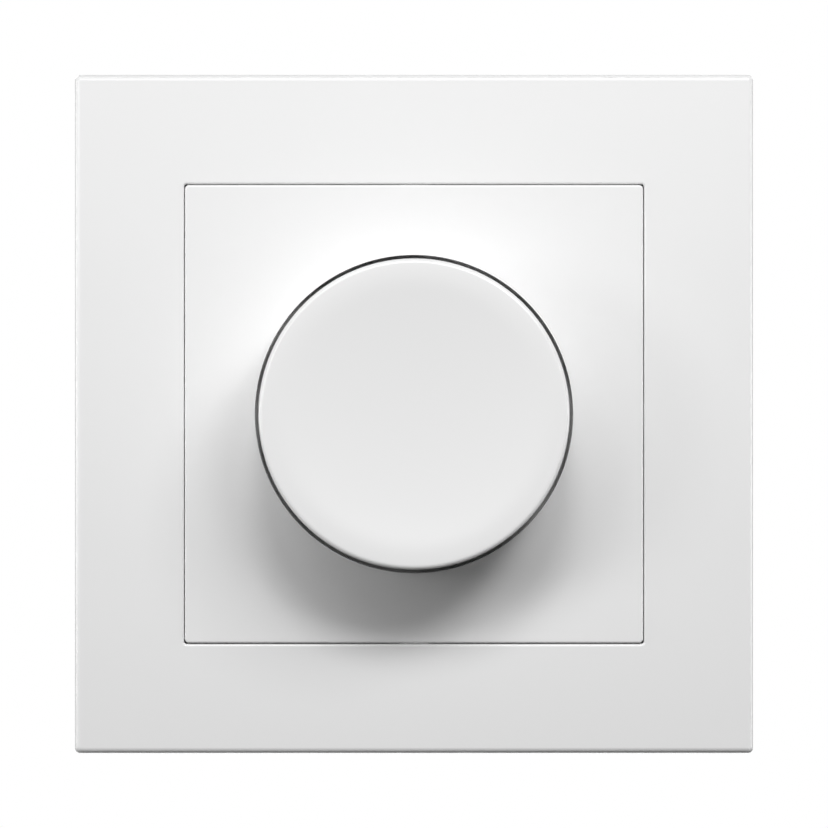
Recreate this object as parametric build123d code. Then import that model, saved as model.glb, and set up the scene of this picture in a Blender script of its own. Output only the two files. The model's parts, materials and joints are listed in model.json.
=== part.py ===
from build123d import *

import math
import os

# A flush-mounted rotary dimmer. A round push-and-turn knob stands in a square centre
# plate and cover frame, and the insert behind them goes into a round wall box.
#
# Every piece is drawn as it lies on the wall: x to the right, y up, z out of the wall
# towards the room, and z = 0 on the wall. The last lines stand the pieces up, so that
# up is +Z and the room is towards -Y. All sizes are in millimetres.

# How far a cutting tool runs past the face that it cuts
CUT_PAST = 1.0

# Cover frame
FRAME_SIDE = 81.2
FRAME_HEIGHT = 10.0
FRAME_WALL = 1.8
FRAME_CORNER_ROUND = 0.6
FRAME_EDGE_ROUND = 0.7
OPENING_SIDE = 55.0
OPENING_CORNER_ROUND = 0.3
OPENING_EDGE_ROUND = 0.35
INNER_WALL = 1.2
RIB = 1.0
RIB_PLACES = (-24.0, -12.0, 12.0, 24.0)
RIB_OVER_RING = 1.0
SCREW_NOTCH_WIDTH = 13.0
SCREW_NOTCH_HEIGHT = 3.8

# Centre plate
PLATE_GAP = 0.08
PLATE_PROUD = 0.2
PLATE_WALL = 1.5
PLATE_CORNER_ROUND = 0.5
PLATE_EDGE_ROUND = 0.25
PLATE_SKIRT = 1.4
PLATE_SKIRT_CLEAR = 0.8
PLATE_BASE = 1.5
CUP_WALL = 1.4
PLATE_RIB_COUNT = 8
NOSE_PLACE = 18.0
NOSE_WIDTH = 5.6
NOSE_HEIGHT = 1.4
NOSE_LEVEL = 4.2
NOSE_REACH = 0.6
NOSE_CLEAR = 0.3

# Knob
KNOB_DIAMETER = 37.3
KNOB_GAP = 0.4
KNOB_PROUD = 15.0
KNOB_TAPER = 0.15
KNOB_EDGE_ROUND = 0.9
KNOB_DISH = 0.8
KNOB_WALL = 1.5
KNOB_ROOF = 1.6
KNOB_TRAVEL = 1.5
KNOB_TURN = 145.0
KNOB_BOTTOM_CLEAR = 0.3
KNOB_RIB_COUNT = 6
HUB_RADIUS = 5.0
HUB_CLEAR = 0.4
HUB_SLOT = 0.8
HUB_SLOT_LENGTH = 4.8
CLAMP_RING_WALL = 0.45
CLAMP_RING_HEIGHT = 3.0
CLAMP_RING_MOUTH = 60.0

# Spindle, bush and nut
SPINDLE_RADIUS = 3.0
SPINDLE_FLAT = 1.5
SPINDLE_REAR_FLAT = 2.0
SPINDLE_FRONT_CLEAR = 0.3
DRIVE_CLEAR = 0.05
COLLAR_RADIUS = 4.0
COLLAR_HEIGHT = 1.0
BUSH_RADIUS = 5.0
BUSH_FLANGE_RADIUS = 6.0
BUSH_FLANGE = 1.0
BUSH_PROUD = 1.0
RUNNING_CLEAR = 0.05
HOLE_CLEAR = 0.15
NUT_FLATS = 14.0
NUT_HEIGHT = 2.5

# Potentiometer
POT_RADIUS = 8.5
POT_WALL = 0.8
ROTOR_RADIUS = 5.6
ROTOR_HEIGHT = 1.1
ROTOR_CLEAR = 0.4
STOP_WIDTH = 2.4
STOP_INNER_RADIUS = 6.2
STOP_MARGIN = 1.5
LUG_CLEAR = 0.5
WIPER_HEIGHT = 0.3
WIPER_INNER_RADIUS = 3.8
WIPER_CLEAR = 0.1
TRACK_HEIGHT = 1.0
TRACK_HOLE_RADIUS = 3.6
TRACK_TAB_WIDTH = 13.8
TRACK_TAB_MARGIN = 1.5
PIN_RADIUS = 0.5
PIN_HEAD_RADIUS = 0.9
PIN_HEAD_HEIGHT = 0.6
PIN_PITCH = 4.5
PIN_MARGIN = 1.4
PIN_TAIL = 1.0
PIN_BLOCK_CLEAR = 0.5

# Support ring
RING_EDGE_CLEAR = 3.2
RING_CORNER_ROUND = 4.0
RING_HEIGHT = 1.2
RING_OPENING_CLEAR = 6.0
BOX_SCREW_SPACING = 60.0
BOX_SLOT_WIDTH = 3.6
BOX_SLOT_LENGTH = 7.2
RING_SCREW_X = 17.5
RING_SCREW_Y = 12.5

# Insert housing
INSERT_WIDTH = 47.0
HOUSING_WALL = 1.6
FLANGE_HEIGHT = 1.5
LIP_HEIGHT = 1.5
LIP_WALL = 1.0
LIP_CLEAR = 0.15
BOSS_HEIGHT = 4.5
BOSS_WALL = 3.2
BOSS_ROOF = 1.5
BOSS_CLEAR = 0.3
FLOOR_CLEAR = 1.4
VENT_WIDTH = 1.4
VENT_LENGTH = 8.0
VENT_PITCH = 3.0
VENT_COUNT = 7
VENT_PLACE = 12.0

# Small screws of the housing and the ring
TAPPER_RADIUS = 1.2
TAPPER_HEAD_RADIUS = 2.1
TAPPER_HEAD_HEIGHT = 1.4
TAPPER_POST_RADIUS = 2.4
TAPPER_CLEAR = 0.15
HOUSING_SCREW_EDGE = 3.4
HOUSING_SCREW_HEADINGS = (58.9, 121.1, 224.5, 315.5)
RING_SCREW_LENGTH = 5.0
CROSS_WIDTH = 0.6
CROSS_DEPTH = 0.7
CROSS_SHARE = 0.6

# Claws and claw screws
CHANNEL_DEPTH = 17.4
CHANNEL_WIDTH = 10.0
CLAW_SCREW_PLACE = 22.0
CLAW_SCREW_RADIUS = 1.5
CLAW_SCREW_LENGTH = 22.0
CLAW_HEAD_RADIUS = 2.75
CLAW_HEAD_HEIGHT = 1.8
CLAW_PIVOT_PLACE = 18.8
CLAW_PIVOT_DEPTH = 4.75
CLAW_SHEET = 1.5
CLAW_WIDTH = 8.0
CLAW_LEG_PLACE = 24.9
CLAW_REACH = 20.0
CLAW_TOOTH = 2.1
CLAW_TOOTH_HEIGHT = 2.6
CLAW_BEND_ROUND = 2.0
CLAW_SLOT_START = 20.1
CLAW_SLOT_WIDTH = 3.5
CLAW_SLOT_WEB = 0.3
SHELF_REACH = 2.4
SHELF_HEIGHT = 1.6
SEAT_CLEAR = 0.3

# Circuit board and switch
BOARD_HEIGHT = 1.6
BOARD_CLEAR = 0.3
BOARD_BEHIND_TRACK = 1.2
SPINDLE_BOARD_CLEAR = 0.1
TAIL_PROUD = 0.5
SWITCH_SIDE = 13.0
SWITCH_WALL = 1.0
SWITCH_BASE = 1.0
PLUNGER_RADIUS = 2.9
PLUNGER_CLEAR = 0.08
PLUNGER_FLANGE_RADIUS = 4.4
PLUNGER_FLANGE = 1.5
PLUNGER_NECK_RADIUS = 1.6
PLUNGER_NECK = 2.5
PLUNGER_PIN_RADIUS = 1.2
PLUNGER_PIN = 2.8
PLUNGER_END_CLEAR = 1.0
BRIDGE_LENGTH = 9.0
BRIDGE_WIDTH = 2.4
BRIDGE_HEIGHT = 0.4
CONTACT_THICK = 0.5
CONTACT_WIDTH = 2.0
CONTACT_REACH = 2.4
CONTACT_CLEAR = 0.1
SPRING_RADIUS = 2.1
SPRING_WIRE = 0.4
SPRING_TURNS = 5
WIRE_SIDES = 6

# Terminals
TERMINAL_PITCH = 9.0
TERMINAL_DEPTH = 13.5
TERMINAL_HEAD_SUNK = 0.8
TERMINAL_HEAD_RADIUS = 2.4
TERMINAL_HEAD_HEIGHT = 1.8
TERMINAL_SCREW_RADIUS = 1.5
TERMINAL_ACCESS_RADIUS = 2.7
TERMINAL_SHOULDER = 1.2
CLAMP_WIDTH = 6.6
CLAMP_LENGTH = 5.0
CLAMP_SHEET = 0.8
CLAMP_TRAVEL = 2.6
CLAMP_CLEAR = 0.2
BAR_WIDTH = 4.6
BAR_THICK = 1.0
BAR_END = 1.4
BAR_TAIL_WIDTH = 2.0
WIRE_HOLE_RADIUS = 1.7
WIRE_ROOM = 3.6
BLOCK_WALL = 0.7

# Parts on the circuit board
SINK_WIDTH = 18.8
SINK_THICK = 1.5
SINK_LENGTH = 12.0
SINK_CORNER_CLEAR = 0.48
TRANSISTOR_WIDTH = 8.0
TRANSISTOR_THICK = 4.0
TRANSISTOR_LENGTH = 9.0
TRANSISTOR_TAB = 1.2
TRANSISTOR_TAB_EXTRA = 2.2
TRANSISTOR_GAP = 0.4
FUSE_RADIUS = 1.75
FUSE_LENGTH = 9.0
FUSE_LEAD_RADIUS = 0.4
CHOKE_X = -13.6
CHOKE_Y = 12.3
CHOKE_OUTER_RADIUS = 5.4
CHOKE_INNER_RADIUS = 2.0
CHOKE_HEIGHT = 6.4
CHOKE_WIRE = 0.6
CHOKE_MOUTH = 50.0
CHOKE_MOUTH_HEADING = -45.0
FILM_SIZE = (10.0, 6.0, 11.0)
FILM_EDGE_ROUND = 0.75
FILM_X = 12.0
FILM_Y = 10.0
CAN_RADIUS = 3.15
CAN_LENGTH = 11.0
CAN_SWITCH_CLEAR = 1.35
CAN_GROOVE = 0.35
CAN_GROOVE_PLACE = 1.75
VARISTOR_RADIUS = 3.5
VARISTOR_THICK = 4.0
VARISTOR_SWITCH_CLEAR = 2.5
PART_BLOCK_CLEAR = 0.15
CHIP_SIZE = (8.6, 4.0, 1.5)
CHIP_Y = 14.0
RESISTOR_RADIUS = 1.15
RESISTOR_LENGTH = 6.3
RESISTOR_X = -11.0
RESISTOR_PLACES = (10.8, 13.6, 16.4)

# Levels out of the wall that follow from the sizes above, from the room to the box
PLATE_FACE = FRAME_HEIGHT + PLATE_PROUD
CUP_FLOOR = BOSS_HEIGHT + PLATE_BASE
NUT_TOP = CUP_FLOOR + NUT_HEIGHT
BUSH_TOP = NUT_TOP + BUSH_PROUD
KNOB_REAR = CUP_FLOOR + KNOB_TRAVEL + KNOB_BOTTOM_CLEAR
KNOB_FRONT = PLATE_FACE + KNOB_PROUD
KNOB_UNDER_ROOF = KNOB_FRONT - KNOB_DISH - KNOB_ROOF
HUB_REAR = BUSH_TOP + KNOB_TRAVEL + HUB_CLEAR
POT_FRONT = BOSS_HEIGHT - BOSS_ROOF
BUSH_REAR = POT_FRONT - POT_WALL - BUSH_FLANGE
COLLAR_REAR = BUSH_REAR - COLLAR_HEIGHT
ROTOR_FRONT = COLLAR_REAR - KNOB_TRAVEL - ROTOR_CLEAR
ROTOR_REAR = ROTOR_FRONT - ROTOR_HEIGHT
WIPER_REAR = ROTOR_REAR - WIPER_HEIGHT
TRACK_FRONT = WIPER_REAR - WIPER_CLEAR
TRACK_REAR = TRACK_FRONT - TRACK_HEIGHT
BOARD_FRONT = TRACK_REAR - BOARD_BEHIND_TRACK
BOARD_REAR = BOARD_FRONT - BOARD_HEIGHT
SPINDLE_REAR = BOARD_REAR + KNOB_TRAVEL + SPINDLE_BOARD_CLEAR
PLUNGER_FLANGE_FRONT = BOARD_REAR - SWITCH_WALL - SEAT_CLEAR
PLUNGER_FLANGE_REAR = PLUNGER_FLANGE_FRONT - PLUNGER_FLANGE
BRIDGE_FRONT = PLUNGER_FLANGE_REAR - PLUNGER_NECK
BRIDGE_REAR = BRIDGE_FRONT - BRIDGE_HEIGHT
CONTACT_FRONT = BRIDGE_REAR - KNOB_TRAVEL - CONTACT_CLEAR
CONTACT_REAR = CONTACT_FRONT - CONTACT_THICK
PLUNGER_PIN_END = BRIDGE_REAR - PLUNGER_PIN
SWITCH_BASE_FRONT = PLUNGER_PIN_END - KNOB_TRAVEL - PLUNGER_END_CLEAR
SWITCH_REAR = SWITCH_BASE_FRONT - SWITCH_BASE
FLOOR_FRONT = SWITCH_REAR - FLOOR_CLEAR
FLOOR_REAR = FLOOR_FRONT - HOUSING_WALL

# Widths and radii that follow
HALF_OPENING = OPENING_SIDE / 2
PLATE_SIDE = OPENING_SIDE - 2 * PLATE_GAP
KNOB_RADIUS = KNOB_DIAMETER / 2
CUP_RADIUS = KNOB_RADIUS + KNOB_GAP
BORE_RADIUS = SPINDLE_RADIUS + RUNNING_CLEAR
RING_SIDE = FRAME_SIDE - 2 * (FRAME_WALL + RING_EDGE_CLEAR)
BOSS_RADIUS = POT_RADIUS + BOSS_CLEAR + BOSS_WALL
RING_OPENING_RADIUS = BOSS_RADIUS + RING_OPENING_CLEAR
PIN_PLACE = POT_RADIUS + PIN_MARGIN
TRACK_TAB_REACH = PIN_PLACE + TRACK_TAB_MARGIN
TAPPER_HOLE_RADIUS = TAPPER_RADIUS + TAPPER_CLEAR
RING_SCREW_PLACES = tuple((sx * RING_SCREW_X, sy * RING_SCREW_Y) for sx in (-1, 1) for sy in (-1, 1))

# Heights in a terminal, from the top of the block under the track's pins down to the
# screw's head, and the insert that is tall and wide enough for all of it
BLOCK_TOP = -PIN_PLACE - PIN_RADIUS - PIN_BLOCK_CLEAR
CELL_TOP = BLOCK_TOP - BLOCK_WALL
CLAMP_TOP = CELL_TOP - CLAMP_CLEAR
CLAMP_INNER_TOP = CLAMP_TOP - CLAMP_SHEET
WIRE_PLACE = CLAMP_INNER_TOP - WIRE_ROOM / 2
BAR_TOP = CLAMP_INNER_TOP - WIRE_ROOM
BAR_LOW = BAR_TOP - BAR_THICK
SCREW_TIP = BAR_LOW - CLAMP_CLEAR
CLAMP_LOW = SCREW_TIP - CLAMP_CLEAR - CLAMP_SHEET
CELL_LOW = CLAMP_LOW - CLAMP_TRAVEL - CLAMP_CLEAR
BLOCK_LOW = CELL_LOW - TERMINAL_SHOULDER
HEAD_LOW = BLOCK_LOW - TERMINAL_HEAD_HEIGHT
INSERT_TALL = 2 * (TERMINAL_HEAD_SUNK - HEAD_LOW)
SINK_BACK = INSERT_TALL / 2 - HOUSING_WALL
INSERT_RADIUS = math.hypot(SINK_WIDTH / 2 + SINK_CORNER_CLEAR, SINK_BACK) + HOUSING_WALL

# Places on the insert that follow
HOUSING_SCREW_CIRCLE = INSERT_RADIUS - HOUSING_SCREW_EDGE
HOUSING_SCREW_PLACES = tuple(
    (HOUSING_SCREW_CIRCLE * math.cos(math.radians(h)), HOUSING_SCREW_CIRCLE * math.sin(math.radians(h)))
    for h in HOUSING_SCREW_HEADINGS
)
CAN_X = -SWITCH_SIDE / 2 - CAN_SWITCH_CLEAR - CAN_RADIUS
CAN_Y = BLOCK_TOP + PART_BLOCK_CLEAR + CAN_RADIUS
VARISTOR_X = SWITCH_SIDE / 2 + VARISTOR_SWITCH_CLEAR + VARISTOR_THICK / 2
VARISTOR_Y = BLOCK_TOP + PART_BLOCK_CLEAR + VARISTOR_RADIUS
TERMINAL_PLACES = (-TERMINAL_PITCH, 0.0, TERMINAL_PITCH)


def slab(outline, low, high):
    """An outline on the wall, made solid between two levels."""
    return Pos(0, 0, low) * extrude(outline, amount=high - low)


def disc(radius, low, high, x=0.0, y=0.0):
    """A round bar along z between two levels."""
    bar = Cylinder(radius, high - low, align=(Align.CENTER, Align.CENTER, Align.MIN))
    return Pos(x, y, low) * bar


def upright(radius, low, high, x, z):
    """A round bar along y between two heights."""
    bar = Cylinder(radius, high - low, align=(Align.CENTER, Align.CENTER, Align.MIN))
    return Pos(x, low, z) * Rot(-90, 0, 0) * bar


def crossbar(radius, left, right, y, z):
    """A round bar along x between two places."""
    bar = Cylinder(radius, right - left, align=(Align.CENTER, Align.CENTER, Align.MIN))
    return Pos(left, y, z) * Rot(0, 90, 0) * bar


def block(x_range, y_range, z_range):
    """A block between two corners."""
    size = [high - low for low, high in (x_range, y_range, z_range)]
    middle = [(high + low) / 2 for low, high in (x_range, y_range, z_range)]
    return Pos(*middle) * Box(*size)


def either_way(reach, middle=0.0):
    """A range that runs as far to both sides of a middle."""
    return (middle - reach, middle + reach)


def four_sides(piece):
    """The same piece at each of the four sides of the square."""
    return [Rot(0, 0, quarter * 90) * piece for quarter in range(4)]


def wedge(half_angle, radius, low, high, heading):
    """A sector of a disc about z, half_angle degrees each way from its heading."""
    start = heading - half_angle
    rim = Line((0, 0), (radius * math.cos(math.radians(start)), radius * math.sin(math.radians(start))))
    arc = CenterArc((0, 0), radius, start, 2 * half_angle)
    back = Line(arc @ 1, (0, 0))
    return slab(make_face([rim, arc, back]), low, high)


def d_shape(radius, flat):
    """A round section with a flat at a given distance above its centre."""
    cap = Pos(0, flat + radius) * Rectangle(4 * radius, 2 * radius)
    return Circle(radius) - cap


def cross_slot(radius, top):
    """The cross cut in a screw's head, with its top at a level."""
    across = block(either_way(radius), either_way(CROSS_WIDTH / 2), (top - CROSS_DEPTH, top + CUT_PAST))
    return across + Rot(0, 0, 90) * across


def insert_outline(inset):
    """The insert seen from the room and drawn in by inset: a circle with four flats and
    a channel for a claw at each side."""
    outline = Circle(INSERT_RADIUS - inset) & Rectangle(INSERT_WIDTH - 2 * inset, INSERT_TALL - 2 * inset)
    start = CHANNEL_DEPTH - inset
    channel = Rectangle(INSERT_WIDTH, CHANNEL_WIDTH + 2 * inset, align=(Align.MIN, Align.CENTER))
    outline -= Pos(start, 0) * channel
    outline -= Pos(-start - INSERT_WIDTH, 0) * channel
    return outline


def make_cover_frame():
    """The square frame: a hollow moulding on ribs, held down by the centre plate."""
    outer = extrude(RectangleRounded(FRAME_SIDE, FRAME_SIDE, FRAME_CORNER_ROUND), amount=FRAME_HEIGHT)
    outer = fillet(outer.faces().sort_by(Axis.Z)[-1].edges(), FRAME_EDGE_ROUND)
    roof_under = FRAME_HEIGHT - FRAME_WALL
    hollow_side = FRAME_SIDE - 2 * FRAME_WALL
    hollow = slab(Rectangle(hollow_side, hollow_side), 0, roof_under)
    frame = outer - hollow
    inner_side = OPENING_SIDE + 2 * INNER_WALL
    frame += slab(Rectangle(inner_side, inner_side), RING_HEIGHT, FRAME_HEIGHT - FRAME_WALL / 2)
    half_inner = inner_side / 2
    rib_span = (half_inner - INNER_WALL / 2, hollow_side / 2 + FRAME_WALL / 2)
    for place in RIB_PLACES:
        rib_height = (RING_HEIGHT + RIB_OVER_RING, roof_under + FRAME_WALL / 2)
        rib = block(rib_span, either_way(RIB / 2, place), rib_height)
        frame += four_sides(rib)
    opening = RectangleRounded(OPENING_SIDE, OPENING_SIDE, OPENING_CORNER_ROUND)
    frame -= slab(opening, -CUT_PAST, FRAME_HEIGHT + CUT_PAST)
    lip = [
        edge
        for edge in frame.faces().sort_by(Axis.Z)[-1].edges()
        if max(abs(edge.center().X), abs(edge.center().Y)) < half_inner
    ]
    frame = fillet(lip, OPENING_EDGE_ROUND)
    inner_wall_span = (HALF_OPENING - CUT_PAST, half_inner + CUT_PAST)
    notch = block(
        inner_wall_span,
        either_way(SCREW_NOTCH_WIDTH / 2),
        (0, RING_HEIGHT + SCREW_NOTCH_HEIGHT),
    )
    frame -= four_sides(notch)
    for place in (-NOSE_PLACE, NOSE_PLACE):
        window = block(
            inner_wall_span,
            either_way(NOSE_WIDTH / 2 + NOSE_CLEAR, place),
            (NOSE_LEVEL - NOSE_CLEAR, NOSE_LEVEL + NOSE_HEIGHT + NOSE_CLEAR),
        )
        frame -= four_sides(window)
    return frame


def make_centre_plate():
    """The square plate with the knob's cup, the skirt and its snap noses, in one moulding."""
    plate = extrude(RectangleRounded(PLATE_SIDE, PLATE_SIDE, PLATE_CORNER_ROUND), amount=PLATE_FACE)
    plate = fillet(plate.faces().sort_by(Axis.Z)[-1].edges(), PLATE_EDGE_ROUND)
    skirt_low = RING_HEIGHT + PLATE_SKIRT_CLEAR
    plate -= slab(Rectangle(FRAME_SIDE, FRAME_SIDE), -CUT_PAST, skirt_low)
    hollow_side = PLATE_SIDE - 2 * PLATE_SKIRT
    roof_under = PLATE_FACE - PLATE_WALL
    plate -= slab(Rectangle(hollow_side, hollow_side), skirt_low - CUT_PAST, roof_under)
    cup_outer = CUP_RADIUS + CUP_WALL
    plate += disc(cup_outer, BOSS_HEIGHT, roof_under + PLATE_WALL / 2)
    rib_span = (CUP_RADIUS + CUP_WALL / 2, PLATE_SIDE / 2 - PLATE_SKIRT / 2)
    for number in range(PLATE_RIB_COUNT):
        angle = 360 / PLATE_RIB_COUNT * (number + 0.5)
        stretch = 1 / max(abs(math.cos(math.radians(angle))), abs(math.sin(math.radians(angle))))
        rib = block(
            (rib_span[0], rib_span[1] * stretch),
            either_way(RIB / 2),
            (CUP_FLOOR, roof_under + PLATE_WALL / 2),
        )
        plate += Rot(0, 0, angle) * rib
    plate -= disc(CUP_RADIUS, CUP_FLOOR, PLATE_FACE + CUT_PAST)
    plate -= disc(BUSH_RADIUS + HOLE_CLEAR, BOSS_HEIGHT - CUT_PAST, CUP_FLOOR + CUT_PAST)
    for place in (-NOSE_PLACE, NOSE_PLACE):
        nose = block(
            (PLATE_SIDE / 2 - PLATE_SKIRT / 2, PLATE_SIDE / 2 + NOSE_REACH),
            either_way(NOSE_WIDTH / 2, place),
            (NOSE_LEVEL, NOSE_LEVEL + NOSE_HEIGHT),
        )
        tip = nose.edges().filter_by(Axis.Y).sort_by(lambda e: e.center().Z - e.center().X)[0]
        nose = chamfer(tip, NOSE_REACH / 2)
        plate += four_sides(nose)
    return plate


def make_knob():
    """The hollow knob: dished face, rounded rim, six ribs and a slotted hub on the spindle."""
    front_radius = KNOB_RADIUS - KNOB_TAPER
    dish_edge = front_radius - KNOB_EDGE_ROUND
    dish_radius = (dish_edge**2 + KNOB_DISH**2) / (2 * KNOB_DISH)
    half_way = dish_edge / 2
    half_rise = dish_radius - math.sqrt(dish_radius**2 - half_way**2)
    bottom = KNOB_FRONT - KNOB_DISH
    dish = ThreePointArc((0, bottom), (half_way, bottom + half_rise), (dish_edge, KNOB_FRONT))
    round_centre = (dish_edge, KNOB_FRONT - KNOB_EDGE_ROUND)
    rim = CenterArc(round_centre, KNOB_EDGE_ROUND, 0, 90)
    side = Polyline(rim @ 0, (KNOB_RADIUS, KNOB_REAR), (0, KNOB_REAR), (0, bottom))
    knob = revolve(Plane.XZ * make_face([dish, rim, side]), Axis.Z)
    inner_radius = front_radius - KNOB_WALL
    knob -= disc(inner_radius, KNOB_REAR - CUT_PAST, KNOB_UNDER_ROOF)
    roof_middle = KNOB_UNDER_ROOF + KNOB_ROOF / 2
    knob += disc(HUB_RADIUS, HUB_REAR, roof_middle)
    rib_low = HUB_REAR + HUB_SLOT_LENGTH
    for number in range(KNOB_RIB_COUNT):
        rib_span = (HUB_RADIUS / 2 + SPINDLE_RADIUS, inner_radius + KNOB_WALL / 2)
        rib = block(rib_span, either_way(RIB / 2), (rib_low, roof_middle))
        knob += Rot(0, 0, number * 360 / KNOB_RIB_COUNT) * rib
    socket = d_shape(SPINDLE_RADIUS + DRIVE_CLEAR, SPINDLE_FLAT + DRIVE_CLEAR)
    knob -= slab(socket, HUB_REAR - CUT_PAST, KNOB_UNDER_ROOF)
    slot = block(either_way(HUB_RADIUS + CUT_PAST), either_way(HUB_SLOT / 2), (HUB_REAR - CUT_PAST, rib_low))
    knob -= slot
    return knob


def make_hub_clamp_ring():
    """The sprung steel ring that closes the knob's hub on the spindle."""
    low = HUB_REAR + (HUB_SLOT_LENGTH - CLAMP_RING_HEIGHT) / 2
    high = low + CLAMP_RING_HEIGHT
    ring = disc(HUB_RADIUS + RUNNING_CLEAR + CLAMP_RING_WALL, low, high)
    ring -= disc(HUB_RADIUS + RUNNING_CLEAR, low, high)
    return ring - wedge(CLAMP_RING_MOUTH / 2, 2 * HUB_RADIUS, low, high, 90)


def make_spindle():
    """The steel spindle: a flat at the front for the knob and one at the rear for the wiper."""
    front = KNOB_UNDER_ROOF - SPINDLE_FRONT_CLEAR
    flat_start = BUSH_TOP + KNOB_TRAVEL / 2
    spindle = disc(SPINDLE_RADIUS, COLLAR_REAR, flat_start)
    spindle += slab(d_shape(SPINDLE_RADIUS, SPINDLE_FLAT), flat_start, front)
    spindle += slab(d_shape(SPINDLE_RADIUS, SPINDLE_REAR_FLAT), SPINDLE_REAR, COLLAR_REAR)
    return spindle + disc(COLLAR_RADIUS, COLLAR_REAR, BUSH_REAR)


def make_threaded_bush():
    """The brass bush in which the spindle turns and slides."""
    bush = disc(BUSH_RADIUS, BUSH_REAR, BUSH_TOP)
    bush = chamfer(bush.edges().sort_by(Axis.Z)[-1], BUSH_PROUD / 2)
    bush += disc(BUSH_FLANGE_RADIUS, BUSH_REAR, BUSH_REAR + BUSH_FLANGE)
    return bush - disc(BORE_RADIUS, BUSH_REAR, BUSH_TOP)


def make_spindle_nut():
    """The hexagon nut that clamps the centre plate to the insert."""
    nut = slab(RegularPolygon(NUT_FLATS / 2, 6, major_radius=False), CUP_FLOOR, NUT_TOP)
    return nut - disc(BUSH_RADIUS + RUNNING_CLEAR, CUP_FLOOR, NUT_TOP)


def make_potentiometer_case():
    """The metal cup of the potentiometer, with the stop that ends the turn."""
    case = disc(POT_RADIUS, TRACK_REAR, POT_FRONT)
    inner = POT_RADIUS - POT_WALL
    case -= disc(inner, TRACK_REAR, POT_FRONT - POT_WALL)
    stop_far = inner + POT_WALL / 2
    stop_span = (-stop_far, -STOP_INNER_RADIUS)
    case += block(either_way(STOP_WIDTH / 2), stop_span, (TRACK_FRONT + WIPER_CLEAR, BUSH_REAR))
    case -= disc(BUSH_RADIUS + RUNNING_CLEAR, BUSH_REAR, POT_FRONT)
    half_tab = TRACK_TAB_WIDTH / 2 + RUNNING_CLEAR
    tab_room = (-POT_RADIUS - CUT_PAST, 0)
    return case - block(either_way(half_tab), tab_room, (TRACK_REAR - CUT_PAST, TRACK_FRONT))


def make_resistance_track():
    """The board that carries the resistance track, with a tab for its pins."""
    outline = Circle(POT_RADIUS - POT_WALL - RUNNING_CLEAR)
    tab = Rectangle(TRACK_TAB_WIDTH, TRACK_TAB_REACH, align=(Align.CENTER, Align.MAX))
    outline = outline + tab - Circle(TRACK_HOLE_RADIUS)
    for place in (-PIN_PITCH, 0, PIN_PITCH):
        outline -= Pos(place, -PIN_PLACE) * Circle(PIN_RADIUS + RUNNING_CLEAR)
    return slab(outline, TRACK_REAR, TRACK_FRONT)


def make_track_pins():
    """The three riveted pins that join the track to the circuit board."""
    pins = []
    for place in (-PIN_PITCH, 0, PIN_PITCH):
        pin = disc(PIN_RADIUS, BOARD_REAR - PIN_TAIL, TRACK_FRONT, place, -PIN_PLACE)
        head_top = TRACK_FRONT + PIN_HEAD_HEIGHT
        pins.append(pin + disc(PIN_HEAD_RADIUS, TRACK_FRONT, head_top, place, -PIN_PLACE))
    return Compound(pins)


def make_wiper_rotor():
    """The rotor that the spindle turns, with the lug that meets the stop."""
    rotor = disc(ROTOR_RADIUS, ROTOR_REAR, ROTOR_FRONT)
    stop_half = math.degrees(math.atan(STOP_WIDTH / 2 / STOP_INNER_RADIUS))
    lug_half = 180 - KNOB_TURN - stop_half - STOP_MARGIN
    lug_radius = POT_RADIUS - POT_WALL - LUG_CLEAR
    rotor += wedge(lug_half, lug_radius, ROTOR_REAR, ROTOR_FRONT, 90)
    clear = 2 * RUNNING_CLEAR
    return rotor - slab(d_shape(SPINDLE_RADIUS + clear, SPINDLE_REAR_FLAT + clear), ROTOR_REAR, ROTOR_FRONT)


def make_wiper_contact():
    """The sprung contact under the rotor, open opposite its finger."""
    ring = disc(ROTOR_RADIUS - RUNNING_CLEAR, WIPER_REAR, ROTOR_REAR)
    ring -= disc(WIPER_INNER_RADIUS, WIPER_REAR, ROTOR_REAR)
    return ring - wedge(CLAMP_RING_MOUTH / 2, POT_RADIUS, WIPER_REAR, ROTOR_REAR, -90)


def make_support_ring():
    """The steel ring that lies on the wall and carries the insert."""
    outline = RectangleRounded(RING_SIDE, RING_SIDE, RING_CORNER_ROUND) - Circle(RING_OPENING_RADIUS)
    half_spacing = BOX_SCREW_SPACING / 2
    slot = SlotOverall(BOX_SLOT_LENGTH, BOX_SLOT_WIDTH)
    for side in (-1, 1):
        outline -= Pos(side * half_spacing, 0) * slot
        outline -= Pos(0, side * half_spacing) * Rot(0, 0, 90) * slot
        outline -= Pos(side * CLAW_SCREW_PLACE, 0) * Circle(CLAW_SCREW_RADIUS + HOLE_CLEAR)
    for x, y in RING_SCREW_PLACES:
        outline -= Pos(x, y) * Circle(TAPPER_HOLE_RADIUS)
    return slab(outline, 0, RING_HEIGHT)


def make_ring_screws():
    """The four screws that hold the ring to the insert."""
    screws = []
    top = RING_HEIGHT + TAPPER_HEAD_HEIGHT
    for x, y in RING_SCREW_PLACES:
        screw = disc(TAPPER_RADIUS, RING_HEIGHT - RING_SCREW_LENGTH, RING_HEIGHT)
        screw += disc(TAPPER_HEAD_RADIUS, RING_HEIGHT, top)
        screws.append(Pos(x, y) * (screw - cross_slot(TAPPER_HEAD_RADIUS * CROSS_SHARE, top)))
    return Compound(screws)


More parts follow.
